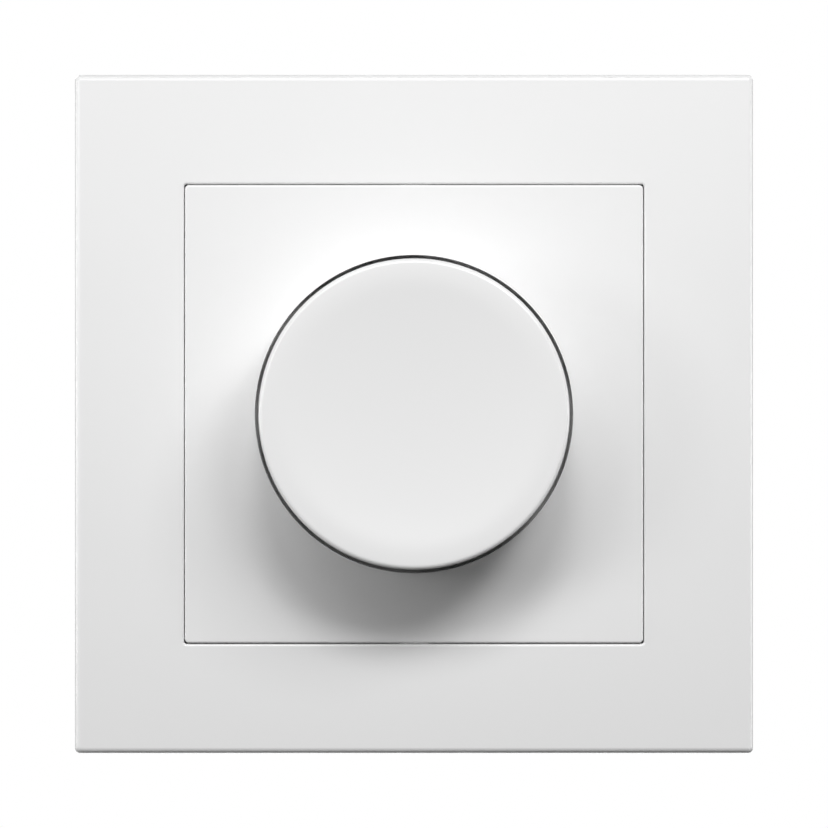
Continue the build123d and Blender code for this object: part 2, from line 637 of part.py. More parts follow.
def make_housing_front():
    """The insert's front: a flange under the ring, the boss round the potentiometer, and posts."""
    front = slab(insert_outline(0), -FLANGE_HEIGHT, 0) + disc(BOSS_RADIUS, -FLANGE_HEIGHT, BOSS_HEIGHT)
    lip = insert_outline(HOUSING_WALL + LIP_CLEAR) - insert_outline(HOUSING_WALL + LIP_CLEAR + LIP_WALL)
    front += slab(lip, -FLANGE_HEIGHT - LIP_HEIGHT, -FLANGE_HEIGHT)
    post_room = slab(insert_outline(HOUSING_WALL + LIP_CLEAR), BOARD_FRONT, -FLANGE_HEIGHT)
    for x, y in HOUSING_SCREW_PLACES:
        front += disc(TAPPER_POST_RADIUS, BOARD_FRONT, -FLANGE_HEIGHT, x, y) & post_room
        front -= disc(TAPPER_RADIUS + RUNNING_CLEAR, BOARD_FRONT, -FLANGE_HEIGHT, x, y)
    ring_post_low = RING_HEIGHT - RING_SCREW_LENGTH - SEAT_CLEAR
    for x, y in RING_SCREW_PLACES:
        front += disc(TAPPER_POST_RADIUS, ring_post_low, -FLANGE_HEIGHT, x, y)
        front -= disc(TAPPER_RADIUS + RUNNING_CLEAR, ring_post_low - CUT_PAST, 0, x, y)
    front -= disc(POT_RADIUS + BOSS_CLEAR, -FLANGE_HEIGHT - LIP_HEIGHT, POT_FRONT)
    return front - disc(BUSH_RADIUS + HOLE_CLEAR, POT_FRONT, BOSS_HEIGHT)


def make_housing_rear():
    """The insert's rear cup, with screw tubes, claw shelves, vents and the wire entries."""
    rear = slab(insert_outline(0), FLOOR_REAR, -FLANGE_HEIGHT)
    rear -= slab(insert_outline(HOUSING_WALL), FLOOR_FRONT, -FLANGE_HEIGHT)
    for x, y in HOUSING_SCREW_PLACES:
        rear += disc(TAPPER_POST_RADIUS, FLOOR_REAR, BOARD_REAR, x, y)
        rear -= disc(TAPPER_HOLE_RADIUS, FLOOR_REAR, BOARD_REAR, x, y)
        rear -= disc(TAPPER_HEAD_RADIUS + HOLE_CLEAR, FLOOR_REAR, FLOOR_REAR + TAPPER_HEAD_HEIGHT, x, y)
    shelf_top = -CLAW_PIVOT_DEPTH - CLAW_SHEET / 2 - SEAT_CLEAR
    for side in (-1, 1):
        shelf_root = side * (CHANNEL_DEPTH - HOUSING_WALL / 2)
        shelf_span = sorted((shelf_root, side * (CHANNEL_DEPTH + SHELF_REACH)))
        shelf_width = either_way(CHANNEL_WIDTH / 2 + HOUSING_WALL / 2)
        rear += block(shelf_span, shelf_width, (shelf_top - SHELF_HEIGHT, shelf_top))
    past_floor = (FLOOR_REAR - CUT_PAST, FLOOR_FRONT + CUT_PAST)
    for place in TERMINAL_PLACES:
        rear -= disc(WIRE_HOLE_RADIUS, *past_floor, place, WIRE_PLACE)
        rear -= upright(TERMINAL_ACCESS_RADIUS, -INSERT_TALL, BLOCK_LOW, place, -TERMINAL_DEPTH)
    first = -(VENT_COUNT - 1) / 2 * VENT_PITCH
    for number in range(VENT_COUNT):
        vent = SlotOverall(VENT_LENGTH, VENT_WIDTH, rotation=90)
        rear -= slab(Pos(first + number * VENT_PITCH, VENT_PLACE) * vent, *past_floor)
    return rear


def make_housing_screws():
    """The four screws that close the housing from behind."""
    screws = []
    head_top = FLOOR_REAR + TAPPER_HEAD_HEIGHT
    for x, y in HOUSING_SCREW_PLACES:
        screw = disc(TAPPER_RADIUS, head_top, -FLANGE_HEIGHT - SEAT_CLEAR)
        screw += disc(TAPPER_HEAD_RADIUS, FLOOR_REAR, head_top)
        slot = Rot(180, 0, 0) * cross_slot(TAPPER_HEAD_RADIUS * CROSS_SHARE, -FLOOR_REAR)
        screws.append(Pos(x, y) * (screw - slot))
    return Compound(screws)


def make_claw(side):
    """A spreading claw: a foot on the claw screw, a leg along the insert and two teeth."""
    half = CLAW_SHEET / 2
    foot_level = -CLAW_PIVOT_DEPTH
    leg_far = CLAW_LEG_PLACE + CLAW_SHEET
    foot = block((CLAW_PIVOT_PLACE, leg_far), either_way(CLAW_WIDTH / 2), either_way(half, foot_level))
    leg = block((CLAW_LEG_PLACE, leg_far), either_way(CLAW_WIDTH / 2), (-CLAW_REACH, foot_level + half))
    claw = foot + leg
    bend = claw.edges().filter_by(Axis.Y).sort_by(lambda e: e.center().X + e.center().Z)[-1]
    claw = fillet(bend, CLAW_BEND_ROUND)
    claw += upright(half, -CLAW_WIDTH / 2, CLAW_WIDTH / 2, CLAW_PIVOT_PLACE, foot_level)
    slot_end = CLAW_LEG_PLACE - CLAW_SLOT_WEB
    slot_span = (CLAW_SLOT_START, slot_end)
    claw -= block(slot_span, either_way(CLAW_SLOT_WIDTH / 2), either_way(CLAW_SHEET, foot_level))
    tooth = Polyline(
        (leg_far - half, -CLAW_REACH),
        (leg_far + CLAW_TOOTH, -CLAW_REACH + CLAW_TOOTH_HEIGHT / 2),
        (leg_far - half, -CLAW_REACH + CLAW_TOOTH_HEIGHT),
        close=True,
    )
    for number in range(2):
        profile = Plane.XZ * make_face(Pos(0, number * CLAW_TOOTH_HEIGHT) * tooth)
        claw += Pos(0, CLAW_WIDTH / 2, 0) * extrude(profile, amount=CLAW_WIDTH)
    return claw if side > 0 else mirror(claw, Plane.YZ)


def make_claw_screw(side):
    """The screw that pulls a claw towards the ring."""
    top = RING_HEIGHT + CLAW_HEAD_HEIGHT
    screw = disc(CLAW_SCREW_RADIUS, RING_HEIGHT - CLAW_SCREW_LENGTH, RING_HEIGHT)
    head = disc(CLAW_HEAD_RADIUS, RING_HEIGHT, top)
    head = chamfer(head.edges().sort_by(Axis.Z)[-1], CLAW_HEAD_HEIGHT / 3)
    screw += head
    return Pos(side * CLAW_SCREW_PLACE, 0) * (screw - cross_slot(CLAW_HEAD_RADIUS * CROSS_SHARE, top))


def make_circuit_board():
    """The circuit board, clamped between the posts of the two housings."""
    outline = insert_outline(HOUSING_WALL + BOARD_CLEAR) - Circle(TRACK_HOLE_RADIUS)
    for x, y in HOUSING_SCREW_PLACES:
        outline -= Pos(x, y) * Circle(TAPPER_HOLE_RADIUS)
    for place in (-PIN_PITCH, 0, PIN_PITCH):
        outline -= Pos(place, -PIN_PLACE) * Circle(PIN_RADIUS + RUNNING_CLEAR)
    outline -= contact_tail_holes()
    for place in TERMINAL_PLACES:
        width = BAR_TAIL_WIDTH + 2 * HOLE_CLEAR
        thick = BAR_THICK + 2 * HOLE_CLEAR
        outline -= Pos(place, (BAR_LOW + BAR_TOP) / 2) * Rectangle(width, thick)
    return slab(outline, BOARD_REAR, BOARD_FRONT)


def contact_place():
    """How far out from the axis the upright of a fixed contact stands."""
    return SWITCH_SIDE / 2 - SWITCH_WALL - CONTACT_CLEAR - CONTACT_THICK / 2


def contact_tail_holes():
    """The two slots through which the switch's contacts reach the board."""
    slot = Rectangle(CONTACT_THICK + 2 * CONTACT_CLEAR, CONTACT_WIDTH + 2 * CONTACT_CLEAR)
    return Pos(contact_place(), 0) * slot + Pos(-contact_place(), 0) * slot


def make_switch_case():
    """The push switch's case behind the board, open at the rear for its base."""
    case = slab(Rectangle(SWITCH_SIDE, SWITCH_SIDE), SWITCH_BASE_FRONT, BOARD_REAR)
    inner = SWITCH_SIDE - 2 * SWITCH_WALL
    case -= slab(Rectangle(inner, inner), SWITCH_BASE_FRONT, BOARD_REAR - SWITCH_WALL)
    case -= disc(PLUNGER_RADIUS + PLUNGER_CLEAR, BOARD_REAR - SWITCH_WALL, BOARD_REAR)
    return case - slab(contact_tail_holes(), BOARD_REAR - SWITCH_WALL, BOARD_REAR)


def make_switch_base():
    """The base that closes the switch and seats its spring."""
    base = slab(Rectangle(SWITCH_SIDE, SWITCH_SIDE), SWITCH_REAR, SWITCH_BASE_FRONT)
    return chamfer(base.edges().filter_by(Axis.Z), SWITCH_BASE / 2)


def make_switch_plunger():
    """The plunger that the spindle pushes."""
    plunger = disc(PLUNGER_RADIUS, PLUNGER_FLANGE_REAR, SPINDLE_REAR)
    plunger += disc(PLUNGER_FLANGE_RADIUS, PLUNGER_FLANGE_REAR, PLUNGER_FLANGE_FRONT)
    plunger += disc(PLUNGER_NECK_RADIUS, BRIDGE_FRONT, PLUNGER_FLANGE_REAR)
    return plunger + disc(PLUNGER_PIN_RADIUS, PLUNGER_PIN_END, BRIDGE_FRONT)


def make_contact_bridge():
    """The bridge that the plunger carries down to the fixed contacts."""
    bridge = Rectangle(BRIDGE_LENGTH, BRIDGE_WIDTH) - Circle(PLUNGER_PIN_RADIUS)
    bridge += Circle(BRIDGE_WIDTH / 2 + BRIDGE_HEIGHT) - Circle(PLUNGER_PIN_RADIUS + RUNNING_CLEAR)
    bridge -= Circle(PLUNGER_PIN_RADIUS + RUNNING_CLEAR)
    return slab(bridge, BRIDGE_REAR, BRIDGE_FRONT)


def make_fixed_contacts():
    """The two fixed contacts, each an angle whose tail goes through the board."""
    half = CONTACT_THICK / 2
    place = contact_place()
    width = either_way(CONTACT_WIDTH / 2)
    pad = block((place - CONTACT_REACH, place + half), width, (CONTACT_REAR, CONTACT_FRONT))
    tail = block(either_way(half, place), width, (CONTACT_REAR, BOARD_FRONT + TAIL_PROUD))
    angle = pad + tail
    return Compound([angle, mirror(angle, Plane.YZ)])


def make_return_spring():
    """The coil spring under the plunger, with a six-sided wire to keep its faces few."""
    room = BRIDGE_REAR - SWITCH_BASE_FRONT - SPRING_WIRE - 2 * RUNNING_CLEAR
    low = SWITCH_BASE_FRONT + SPRING_WIRE / 2 + RUNNING_CLEAR
    path = Helix(pitch=room / SPRING_TURNS, height=room, radius=SPRING_RADIUS)
    section = Plane(origin=path @ 0, z_dir=path % 0) * RegularPolygon(SPRING_WIRE / 2, WIRE_SIDES)
    return Pos(0, 0, low) * sweep(section, path=path, is_frenet=True)


def make_terminal_block():
    """The moulded block with a cell for each clamp, a hole for each wire and a seat for each bar."""
    half_width = TERMINAL_PITCH + CLAMP_WIDTH / 2 + CLAMP_CLEAR + BLOCK_WALL
    outline = Rectangle(2 * half_width, BLOCK_TOP - BLOCK_LOW, align=(Align.CENTER, Align.MIN))
    outline = Pos(0, BLOCK_LOW) * outline & insert_outline(HOUSING_WALL + LIP_CLEAR)
    body = slab(outline, FLOOR_FRONT, BOARD_REAR)
    cell_x = CLAMP_WIDTH / 2 + CLAMP_CLEAR
    cell_z = either_way(CLAMP_LENGTH / 2 + CLAMP_CLEAR, -TERMINAL_DEPTH)
    screw_hole = TERMINAL_SCREW_RADIUS + HOLE_CLEAR
    for place in TERMINAL_PLACES:
        body -= block(either_way(cell_x, place), (CELL_LOW, CELL_TOP), cell_z)
        body -= upright(screw_hole, BLOCK_LOW - CUT_PAST, CELL_LOW, place, -TERMINAL_DEPTH)
        body -= disc(WIRE_HOLE_RADIUS, FLOOR_FRONT, cell_z[1] + WIRE_HOLE_RADIUS, place, WIRE_PLACE)
        body -= contact_bar(place, RUNNING_CLEAR)
    return body


def contact_bar(place, grow):
    """One contact bar, or the room for it when grown on all sides."""
    half_length = CLAMP_LENGTH / 2 + CLAMP_CLEAR + BAR_END
    thickness = (BAR_LOW - grow, BAR_TOP + grow)
    bar = block(
        either_way(BAR_WIDTH / 2 + grow, place),
        thickness,
        either_way(half_length + grow, -TERMINAL_DEPTH),
    )
    tail = block(
        either_way(BAR_TAIL_WIDTH / 2 + grow, place),
        thickness,
        (-TERMINAL_DEPTH, BOARD_FRONT + TAIL_PROUD),
    )
    return bar + tail


def make_contact_bars():
    """The three bars against which the wires are clamped."""
    return Compound([contact_bar(place, 0) for place in TERMINAL_PLACES])


def make_terminal_screw(place):
    """A terminal's screw, which turns in the block and draws its clamp down."""
    screw = upright(TERMINAL_SCREW_RADIUS, BLOCK_LOW, SCREW_TIP, place, -TERMINAL_DEPTH)
    screw += upright(TERMINAL_HEAD_RADIUS, HEAD_LOW, BLOCK_LOW, place, -TERMINAL_DEPTH)
    slot = block(
        either_way(TERMINAL_HEAD_RADIUS, place),
        (HEAD_LOW - CUT_PAST, HEAD_LOW + CROSS_DEPTH),
        either_way(CROSS_WIDTH / 2, -TERMINAL_DEPTH),
    )
    return screw - slot


def make_terminal_clamp(place):
    """A terminal's cage, which rises and falls on its screw."""
    depth = either_way(CLAMP_LENGTH / 2, -TERMINAL_DEPTH)
    cage = block(either_way(CLAMP_WIDTH / 2, place), (CLAMP_LOW, CLAMP_TOP), depth)
    window = (CLAMP_LOW + CLAMP_SHEET, CLAMP_INNER_TOP)
    cage -= block(either_way(CLAMP_WIDTH / 2 - CLAMP_SHEET, place), window, depth)
    thread = upright(TERMINAL_SCREW_RADIUS + RUNNING_CLEAR, CLAMP_LOW, window[0], place, -TERMINAL_DEPTH)
    return cage - thread


def make_heat_sink():
    """The aluminium plate along the top of the insert."""
    depth = (BOARD_REAR - SINK_LENGTH, BOARD_REAR)
    return block(either_way(SINK_WIDTH / 2), (SINK_BACK - SINK_THICK, SINK_BACK), depth)


def make_power_transistors():
    """The two power transistors, with their tabs on the heat sink."""
    back = SINK_BACK - SINK_THICK
    pieces = []
    for side in (-1, 1):
        middle = side * (TRANSISTOR_WIDTH + TRANSISTOR_GAP) / 2
        span = either_way(TRANSISTOR_WIDTH / 2, middle)
        rear = BOARD_REAR - TRANSISTOR_LENGTH
        body = block(span, (back - TRANSISTOR_THICK, back), (rear, BOARD_REAR))
        tab = block(span, (back - TRANSISTOR_TAB, back), (rear - TRANSISTOR_TAB_EXTRA, rear))
        pieces.append(body + tab)
    return Compound(pieces)


def make_thermal_fuse():
    """The thermal fuse that lies against the transistors, with its two leads bent to the board."""
    y = SINK_BACK - SINK_THICK - TRANSISTOR_THICK - SEAT_CLEAR - FUSE_RADIUS
    z = BOARD_REAR - FUSE_RADIUS - SEAT_CLEAR
    half = FUSE_LENGTH / 2
    fuse = crossbar(FUSE_RADIUS, -half, half, y, z)
    lead_end = half + 2 * FUSE_LEAD_RADIUS
    fuse += crossbar(FUSE_LEAD_RADIUS, -lead_end, lead_end, y, z)
    for side in (-1, 1):
        fuse += disc(FUSE_LEAD_RADIUS, z - FUSE_LEAD_RADIUS, BOARD_REAR, side * lead_end, y)
    return fuse


def choke_ring(outer, inner, low, high):
    """A ring at the choke's place."""
    return disc(outer, low, high, CHOKE_X, CHOKE_Y) - disc(inner, low, high, CHOKE_X, CHOKE_Y)


def make_choke_core():
    """The ring core of the suppression choke."""
    outer = CHOKE_OUTER_RADIUS - CHOKE_WIRE
    inner = CHOKE_INNER_RADIUS + CHOKE_WIRE
    return choke_ring(outer, inner, BOARD_REAR - CHOKE_HEIGHT + CHOKE_WIRE, BOARD_REAR - CHOKE_WIRE)


def make_choke_winding():
    """The choke's winding, open where its two ends part."""
    low = BOARD_REAR - CHOKE_HEIGHT
    winding = choke_ring(CHOKE_OUTER_RADIUS, CHOKE_INNER_RADIUS, low, BOARD_REAR) - make_choke_core()
    mouth = wedge(CHOKE_MOUTH / 2, 2 * CHOKE_OUTER_RADIUS, low, BOARD_REAR, CHOKE_MOUTH_HEADING)
    return winding - Pos(CHOKE_X, CHOKE_Y, 0) * mouth


def make_film_capacitor():
    """The suppression capacitor, a box with soft edges."""
    width, height, length = FILM_SIZE
    depth = (BOARD_REAR - length, BOARD_REAR)
    box = block(either_way(width / 2, FILM_X), either_way(height / 2, FILM_Y), depth)
    return fillet(box.edges().filter_by(Axis.Z), FILM_EDGE_ROUND)


def make_electrolytic_capacitor():
    """The electrolytic capacitor, with the groove rolled into its can."""
    can = disc(CAN_RADIUS, BOARD_REAR - CAN_LENGTH, BOARD_REAR, CAN_X, CAN_Y)
    can = chamfer(can.edges().sort_by(Axis.Z)[0], CAN_GROOVE)
    profile = Polyline((0, CAN_GROOVE), (-CAN_GROOVE, 0), (0, -CAN_GROOVE), close=True)
    groove = revolve(Plane.XZ * Pos(CAN_RADIUS, 0) * make_face(profile), Axis.Z)
    return can - Pos(CAN_X, CAN_Y, BOARD_REAR - CAN_GROOVE_PLACE) * groove


def make_varistor():
    """The varistor, a round disc that stands on the board."""
    z = BOARD_REAR - VARISTOR_RADIUS
    half = VARISTOR_THICK / 2
    body = crossbar(VARISTOR_RADIUS, VARISTOR_X - half, VARISTOR_X + half, VARISTOR_Y, z)
    return chamfer(body.edges().filter_by(GeomType.CIRCLE), half / 2)


def make_controller_chip():
    """The controller on the front of the board."""
    width, height, thick = CHIP_SIZE
    chip = block(either_way(width / 2), either_way(height / 2, CHIP_Y), (BOARD_FRONT, BOARD_FRONT + thick))
    return chamfer(chip.faces().sort_by(Axis.Z)[-1].edges(), thick / 6)


def make_resistors():
    """Three resistors that lie on the front of the board."""
    half = RESISTOR_LENGTH / 2
    level = BOARD_FRONT + RESISTOR_RADIUS
    bodies = []
    for y in RESISTOR_PLACES:
        body = crossbar(RESISTOR_RADIUS, RESISTOR_X - half, RESISTOR_X + half, y, level)
        bodies.append(chamfer(body.edges().filter_by(GeomType.CIRCLE), RESISTOR_RADIUS / 3))
    return Compound(bodies)


pieces = {
    "cover_frame": make_cover_frame(),
    "centre_plate": make_centre_plate(),
    "knob": make_knob(),
    "hub_clamp_ring": make_hub_clamp_ring(),
    "spindle": make_spindle(),
    "threaded_bush": make_threaded_bush(),
    "spindle_nut": make_spindle_nut(),
    "potentiometer_case": make_potentiometer_case(),
    "resistance_track": make_resistance_track(),
    "track_pins": make_track_pins(),
    "wiper_rotor": make_wiper_rotor(),
    "wiper_contact": make_wiper_contact(),
    "support_ring": make_support_ring(),
    "ring_screws": make_ring_screws(),
    "housing_front": make_housing_front(),
    "housing_rear": make_housing_rear(),
    "housing_screws": make_housing_screws(),
    "left_claw": make_claw(-1),
    "right_claw": make_claw(1),
    "left_claw_screw": make_claw_screw(-1),
    "right_claw_screw": make_claw_screw(1),
    "circuit_board": make_circuit_board(),
    "switch_case": make_switch_case(),
    "switch_base": make_switch_base(),
    "switch_plunger": make_switch_plunger(),
    "contact_bridge": make_contact_bridge(),
    "fixed_contacts": make_fixed_contacts(),
    "return_spring": make_return_spring(),
    "terminal_block": make_terminal_block(),
    "contact_bars": make_contact_bars(),
    "heat_sink": make_heat_sink(),
    "power_transistors": make_power_transistors(),
    "thermal_fuse": make_thermal_fuse(),
    "choke_core": make_choke_core(),
    "choke_winding": make_choke_winding(),
    "film_capacitor": make_film_capacitor(),
    "electrolytic_capacitor": make_electrolytic_capacitor(),
    "varistor": make_varistor(),
    "controller_chip": make_controller_chip(),
    "resistors": make_resistors(),
}
for number, place in enumerate(TERMINAL_PLACES, start=1):
    pieces[f"terminal_screw_{number}"] = make_terminal_screw(place)
    pieces[f"terminal_clamp_{number}"] = make_terminal_clamp(place)

# Stands the drawing up: its y becomes +Z and its z becomes -Y.
STAND_UP = Rot(90, 0, 0)

os.makedirs("parts", exist_ok=True)
for name, piece in pieces.items():
    export_step(STAND_UP * piece, f"parts/{name}.step")
    print(name, len(piece.solids()), "solid(s)")
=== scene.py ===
# %% [markdown]
# # A rotary dimmer for a wall box
#
# The real object is a round push-and-turn knob in a square centre plate and cover
# frame, with an insert behind them that goes into the wall. The construction model
# gives every piece at its real size. This script gives each piece its finish, cuts the
# fine shapes that the construction leaves out, and sets up the studio.

# %% Load the frame
import json
import math

import bmesh
import bpy
from mathutils import Matrix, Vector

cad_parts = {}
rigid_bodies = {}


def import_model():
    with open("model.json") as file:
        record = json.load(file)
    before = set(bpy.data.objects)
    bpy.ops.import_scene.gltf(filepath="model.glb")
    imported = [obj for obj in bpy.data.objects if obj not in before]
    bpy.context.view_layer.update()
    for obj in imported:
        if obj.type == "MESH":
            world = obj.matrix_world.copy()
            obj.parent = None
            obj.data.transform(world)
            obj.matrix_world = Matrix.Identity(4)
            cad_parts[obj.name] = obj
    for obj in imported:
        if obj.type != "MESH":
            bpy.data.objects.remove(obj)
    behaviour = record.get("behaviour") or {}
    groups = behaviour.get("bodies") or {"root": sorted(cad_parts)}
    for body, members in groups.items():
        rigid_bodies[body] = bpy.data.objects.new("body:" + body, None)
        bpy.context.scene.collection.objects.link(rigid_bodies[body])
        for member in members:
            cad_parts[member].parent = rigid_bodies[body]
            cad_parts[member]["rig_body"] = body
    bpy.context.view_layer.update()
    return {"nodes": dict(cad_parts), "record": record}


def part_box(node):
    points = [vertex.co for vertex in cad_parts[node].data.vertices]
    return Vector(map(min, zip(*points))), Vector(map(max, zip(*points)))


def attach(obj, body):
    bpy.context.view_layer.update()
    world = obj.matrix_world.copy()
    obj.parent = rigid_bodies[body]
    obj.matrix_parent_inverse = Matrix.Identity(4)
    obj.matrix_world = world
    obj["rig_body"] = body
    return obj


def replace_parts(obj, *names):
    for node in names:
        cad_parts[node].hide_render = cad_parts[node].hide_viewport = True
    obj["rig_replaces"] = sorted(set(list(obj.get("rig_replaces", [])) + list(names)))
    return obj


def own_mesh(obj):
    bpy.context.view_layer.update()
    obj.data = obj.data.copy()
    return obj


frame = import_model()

print("pieces in the frame:", len(frame["nodes"]))

# %% [markdown]
# ## Sizes that the finish follows
#
# Everything is in metres. What the frame can tell is read from it, so that a knob or a
# screw made here sits exactly where the construction put it.

# %% Sizes from the frame
MM = 0.001


def span(node, axis):
    """The lowest and highest place of a node along x, y or z."""
    low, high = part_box(node)
    return low["xyz".index(axis)], high["xyz".index(axis)]


FRAME_FRONT = span("cover_frame", "y")[0]
KNOB_FRONT, KNOB_REAR = span("knob", "y")
knob_left, knob_right = span("knob", "x")
KNOB_RADIUS = (knob_right - knob_left) / 2
print("knob radius", round(KNOB_RADIUS / MM, 3), "mm, front at", round(KNOB_FRONT / MM, 2), "mm")

# %% [markdown]
# ## Shader groups
#
# A moulded skin and a plated sheet each appear on many pieces, so each is one node group
# with named inputs. A photograph of plastic or steel could be wrapped round the pieces
# instead, but it would blur close up and show its seams, so both are worked out from
# noise. A group only puts out a colour, a roughness and a normal. The Principled shader
# stays in the material, where its plain numbers are set on its own sockets.


# %% Group helpers
def new_group(name, inputs, outputs):
    """An empty shader group with named sockets, and its two end nodes."""
    group = bpy.data.node_groups.new(name, "ShaderNodeTree")
    for label, kind, value in inputs:
        socket = group.interface.new_socket(name=label, in_out="INPUT", socket_type=kind)
        socket.default_value = value
    for label, kind in outputs:
        group.interface.new_socket(name=label, in_out="OUTPUT", socket_type=kind)
    return group, group.nodes.new("NodeGroupInput"), group.nodes.new("NodeGroupOutput")


def math_node(tree, operation, first, second):
    """A Math node with each input a number or another node's socket."""
    node = tree.nodes.new("ShaderNodeMath")
    node.operation = operation
    for socket, value in zip(node.inputs, (first, second)):
        if isinstance(value, (int, float)):
            socket.default_value = value
        else:
            tree.links.new(value, socket)
    return node.outputs[0]


def noise_node(tree, vector, scale, detail=2.0):
    """A Noise texture's value, at a scale that comes from a socket."""
    node = tree.nodes.new("ShaderNodeTexNoise")
    node.inputs["Detail"].default_value = detail
    tree.links.new(vector, node.inputs["Vector"])
    tree.links.new(scale, node.inputs["Scale"])
    return node.outputs["Fac"]


def bump_node(tree, height, distance):
    """The normal of a height in metres."""
    node = tree.nodes.new("ShaderNodeBump")
    node.inputs["Strength"].default_value = 1.0
    tree.links.new(distance, node.inputs["Distance"])
    tree.links.new(height, node.inputs["Height"])
    return node.outputs["Normal"]


def spread_about(tree, middle, spread, pattern):
    """A value that moves about a middle by a spread, as a 0 to 1 pattern says."""
    centred = math_node(tree, "SUBTRACT", pattern, 0.5)
    swing = math_node(tree, "MULTIPLY", centred, spread)
    return math_node(tree, "ADD", middle, swing)


print("shader helpers ready")

# %% [markdown]
# ### Moulded skin
#
# A mould's wall is never quite flat. A polished one leaves a faint long ripple, and a
# spark-eroded one a fine dull grain. Both are the same noise at another size and depth.
# The gloss drifts as well, in patches about eight times as wide as the grain.

# %% Moulded skin
PATCH_SCALE = 0.12


def make_skin_group():
    """Noise relief of a given grain size and depth, with a roughness that drifts."""
    group, start, end = new_group(
        "moulded_skin",
        [
            ("Grain", "NodeSocketFloat", 0.6 * MM),
            ("Depth", "NodeSocketFloat", 0.001 * MM),
            ("Roughness", "NodeSocketFloat", 0.3),
            ("Drift", "NodeSocketFloat", 0.05),
        ],
        [("Roughness", "NodeSocketFloat"), ("Normal", "NodeSocketVector")],
    )
    place = group.nodes.new("ShaderNodeTexCoord").outputs["Object"]
    scale = math_node(group, "DIVIDE", 1.0, start.outputs["Grain"])
    relief = noise_node(group, place, scale, detail=3.0)
    group.links.new(bump_node(group, relief, start.outputs["Depth"]), end.inputs["Normal"])
    slow = math_node(group, "MULTIPLY", scale, PATCH_SCALE)
    patches = noise_node(group, place, slow)
    drift = spread_about(group, start.outputs["Roughness"], start.outputs["Drift"], patches)
    group.links.new(drift, end.inputs["Roughness"])
    return group


SKIN = make_skin_group()
print("group", SKIN.name)

# %% [markdown]
# ### Plated sheet
#
# Zinc plating over rolled steel shows two things: soft cloudy patches, where the plating
# took a little thicker, and fine lines along the rolling direction. The clouds are plain
# noise. The lines are the same noise squeezed along z, so that they run across the sheet.

# %% Plated sheet
ROLLING_STRETCH = (0.5, 0.5, 14.0)


def make_plating_group():
    """Cloudy patches of two close colours over fine rolling lines."""
    group, start, end = new_group(
        "plated_sheet",
        [
            ("Colour", "NodeSocketColor", (0.7, 0.7, 0.7, 1)),
            ("Cloud", "NodeSocketColor", (0.6, 0.6, 0.6, 1)),
            ("Patch", "NodeSocketFloat", 3 * MM),
            ("Depth", "NodeSocketFloat", 0.002 * MM),
            ("Roughness", "NodeSocketFloat", 0.35),
            ("Drift", "NodeSocketFloat", 0.15),
        ],
        [
            ("Colour", "NodeSocketColor"),
            ("Roughness", "NodeSocketFloat"),
            ("Normal", "NodeSocketVector"),
        ],
    )
    place = group.nodes.new("ShaderNodeTexCoord").outputs["Object"]
    scale = math_node(group, "DIVIDE", 1.0, start.outputs["Patch"])
    clouds = noise_node(group, place, scale, detail=4.0)
    blend = group.nodes.new("ShaderNodeMix")
    blend.data_type = "RGBA"
    group.links.new(clouds, blend.inputs["Factor"])
    group.links.new(start.outputs["Colour"], blend.inputs["A"])
    group.links.new(start.outputs["Cloud"], blend.inputs["B"])
    group.links.new(blend.outputs["Result"], end.inputs["Colour"])
    drift = spread_about(group, start.outputs["Roughness"], start.outputs["Drift"], clouds)
    group.links.new(drift, end.inputs["Roughness"])
    stretch = group.nodes.new("ShaderNodeMapping")
    stretch.inputs["Scale"].default_value = ROLLING_STRETCH
    group.links.new(place, stretch.inputs["Vector"])
    lines = noise_node(group, stretch.outputs["Vector"], scale, detail=3.0)
    group.links.new(bump_node(group, lines, start.outputs["Depth"]), end.inputs["Normal"])
    return group


PLATING = make_plating_group()
print("group", PLATING.name)

# %% [markdown]
# ## Materials
#
# The record names a slot for every piece. Two tables give each slot its colour, the
# relief of its surface and its gloss, and two short functions build plastics and metals
# from them. Eighteen materials built by hand would look the same, but then a change to
# all plastics would have to be made eleven times.

# %% Material builders
MOULD_DRIFT = 0.04
METAL_DRIFT = 0.15


def new_material(name, colour, metallic):
    """A material with its Principled shader and the shader's plain numbers."""
    material = bpy.data.materials.new(name)
    material.use_nodes = True
    shader = material.node_tree.nodes["Principled BSDF"]
    shader.inputs["Base Color"].default_value = (*colour, 1)
    shader.inputs["Metallic"].default_value = metallic
    material.diffuse_color = (*colour, 1)
    return material, shader


def place_group(material, group, values):
    """The group in a material, with its named inputs set."""
    node = material.node_tree.nodes.new("ShaderNodeGroup")
    node.node_tree = group
    for label, value in values.items():
        node.inputs[label].default_value = value
    return node


def moulded(name, colour, grain, depth, roughness):
    """A plastic, lacquer or ceramic with the moulded skin."""
    material, shader = new_material(name, colour, metallic=0.0)
    values = {"Grain": grain, "Depth": depth, "Roughness": roughness, "Drift": MOULD_DRIFT}
    skin = place_group(material, SKIN, values)
    for label in ("Roughness", "Normal"):
        material.node_tree.links.new(skin.outputs[label], shader.inputs[label])
    return material


def plated(name, colour, cloud, patch, depth, roughness):
    """A bare or plated metal with the plated sheet's clouds and lines."""
    material, shader = new_material(name, colour, metallic=1.0)
    values = {"Colour": (*colour, 1), "Cloud": (*cloud, 1), "Patch": patch}
    values.update({"Depth": depth, "Roughness": roughness, "Drift": METAL_DRIFT})
    sheet = place_group(material, PLATING, values)
    links = material.node_tree.links
    links.new(sheet.outputs["Colour"], shader.inputs["Base Color"])
    links.new(sheet.outputs["Roughness"], shader.inputs["Roughness"])
    links.new(sheet.outputs["Normal"], shader.inputs["Normal"])
    return material


print("material builders ready")

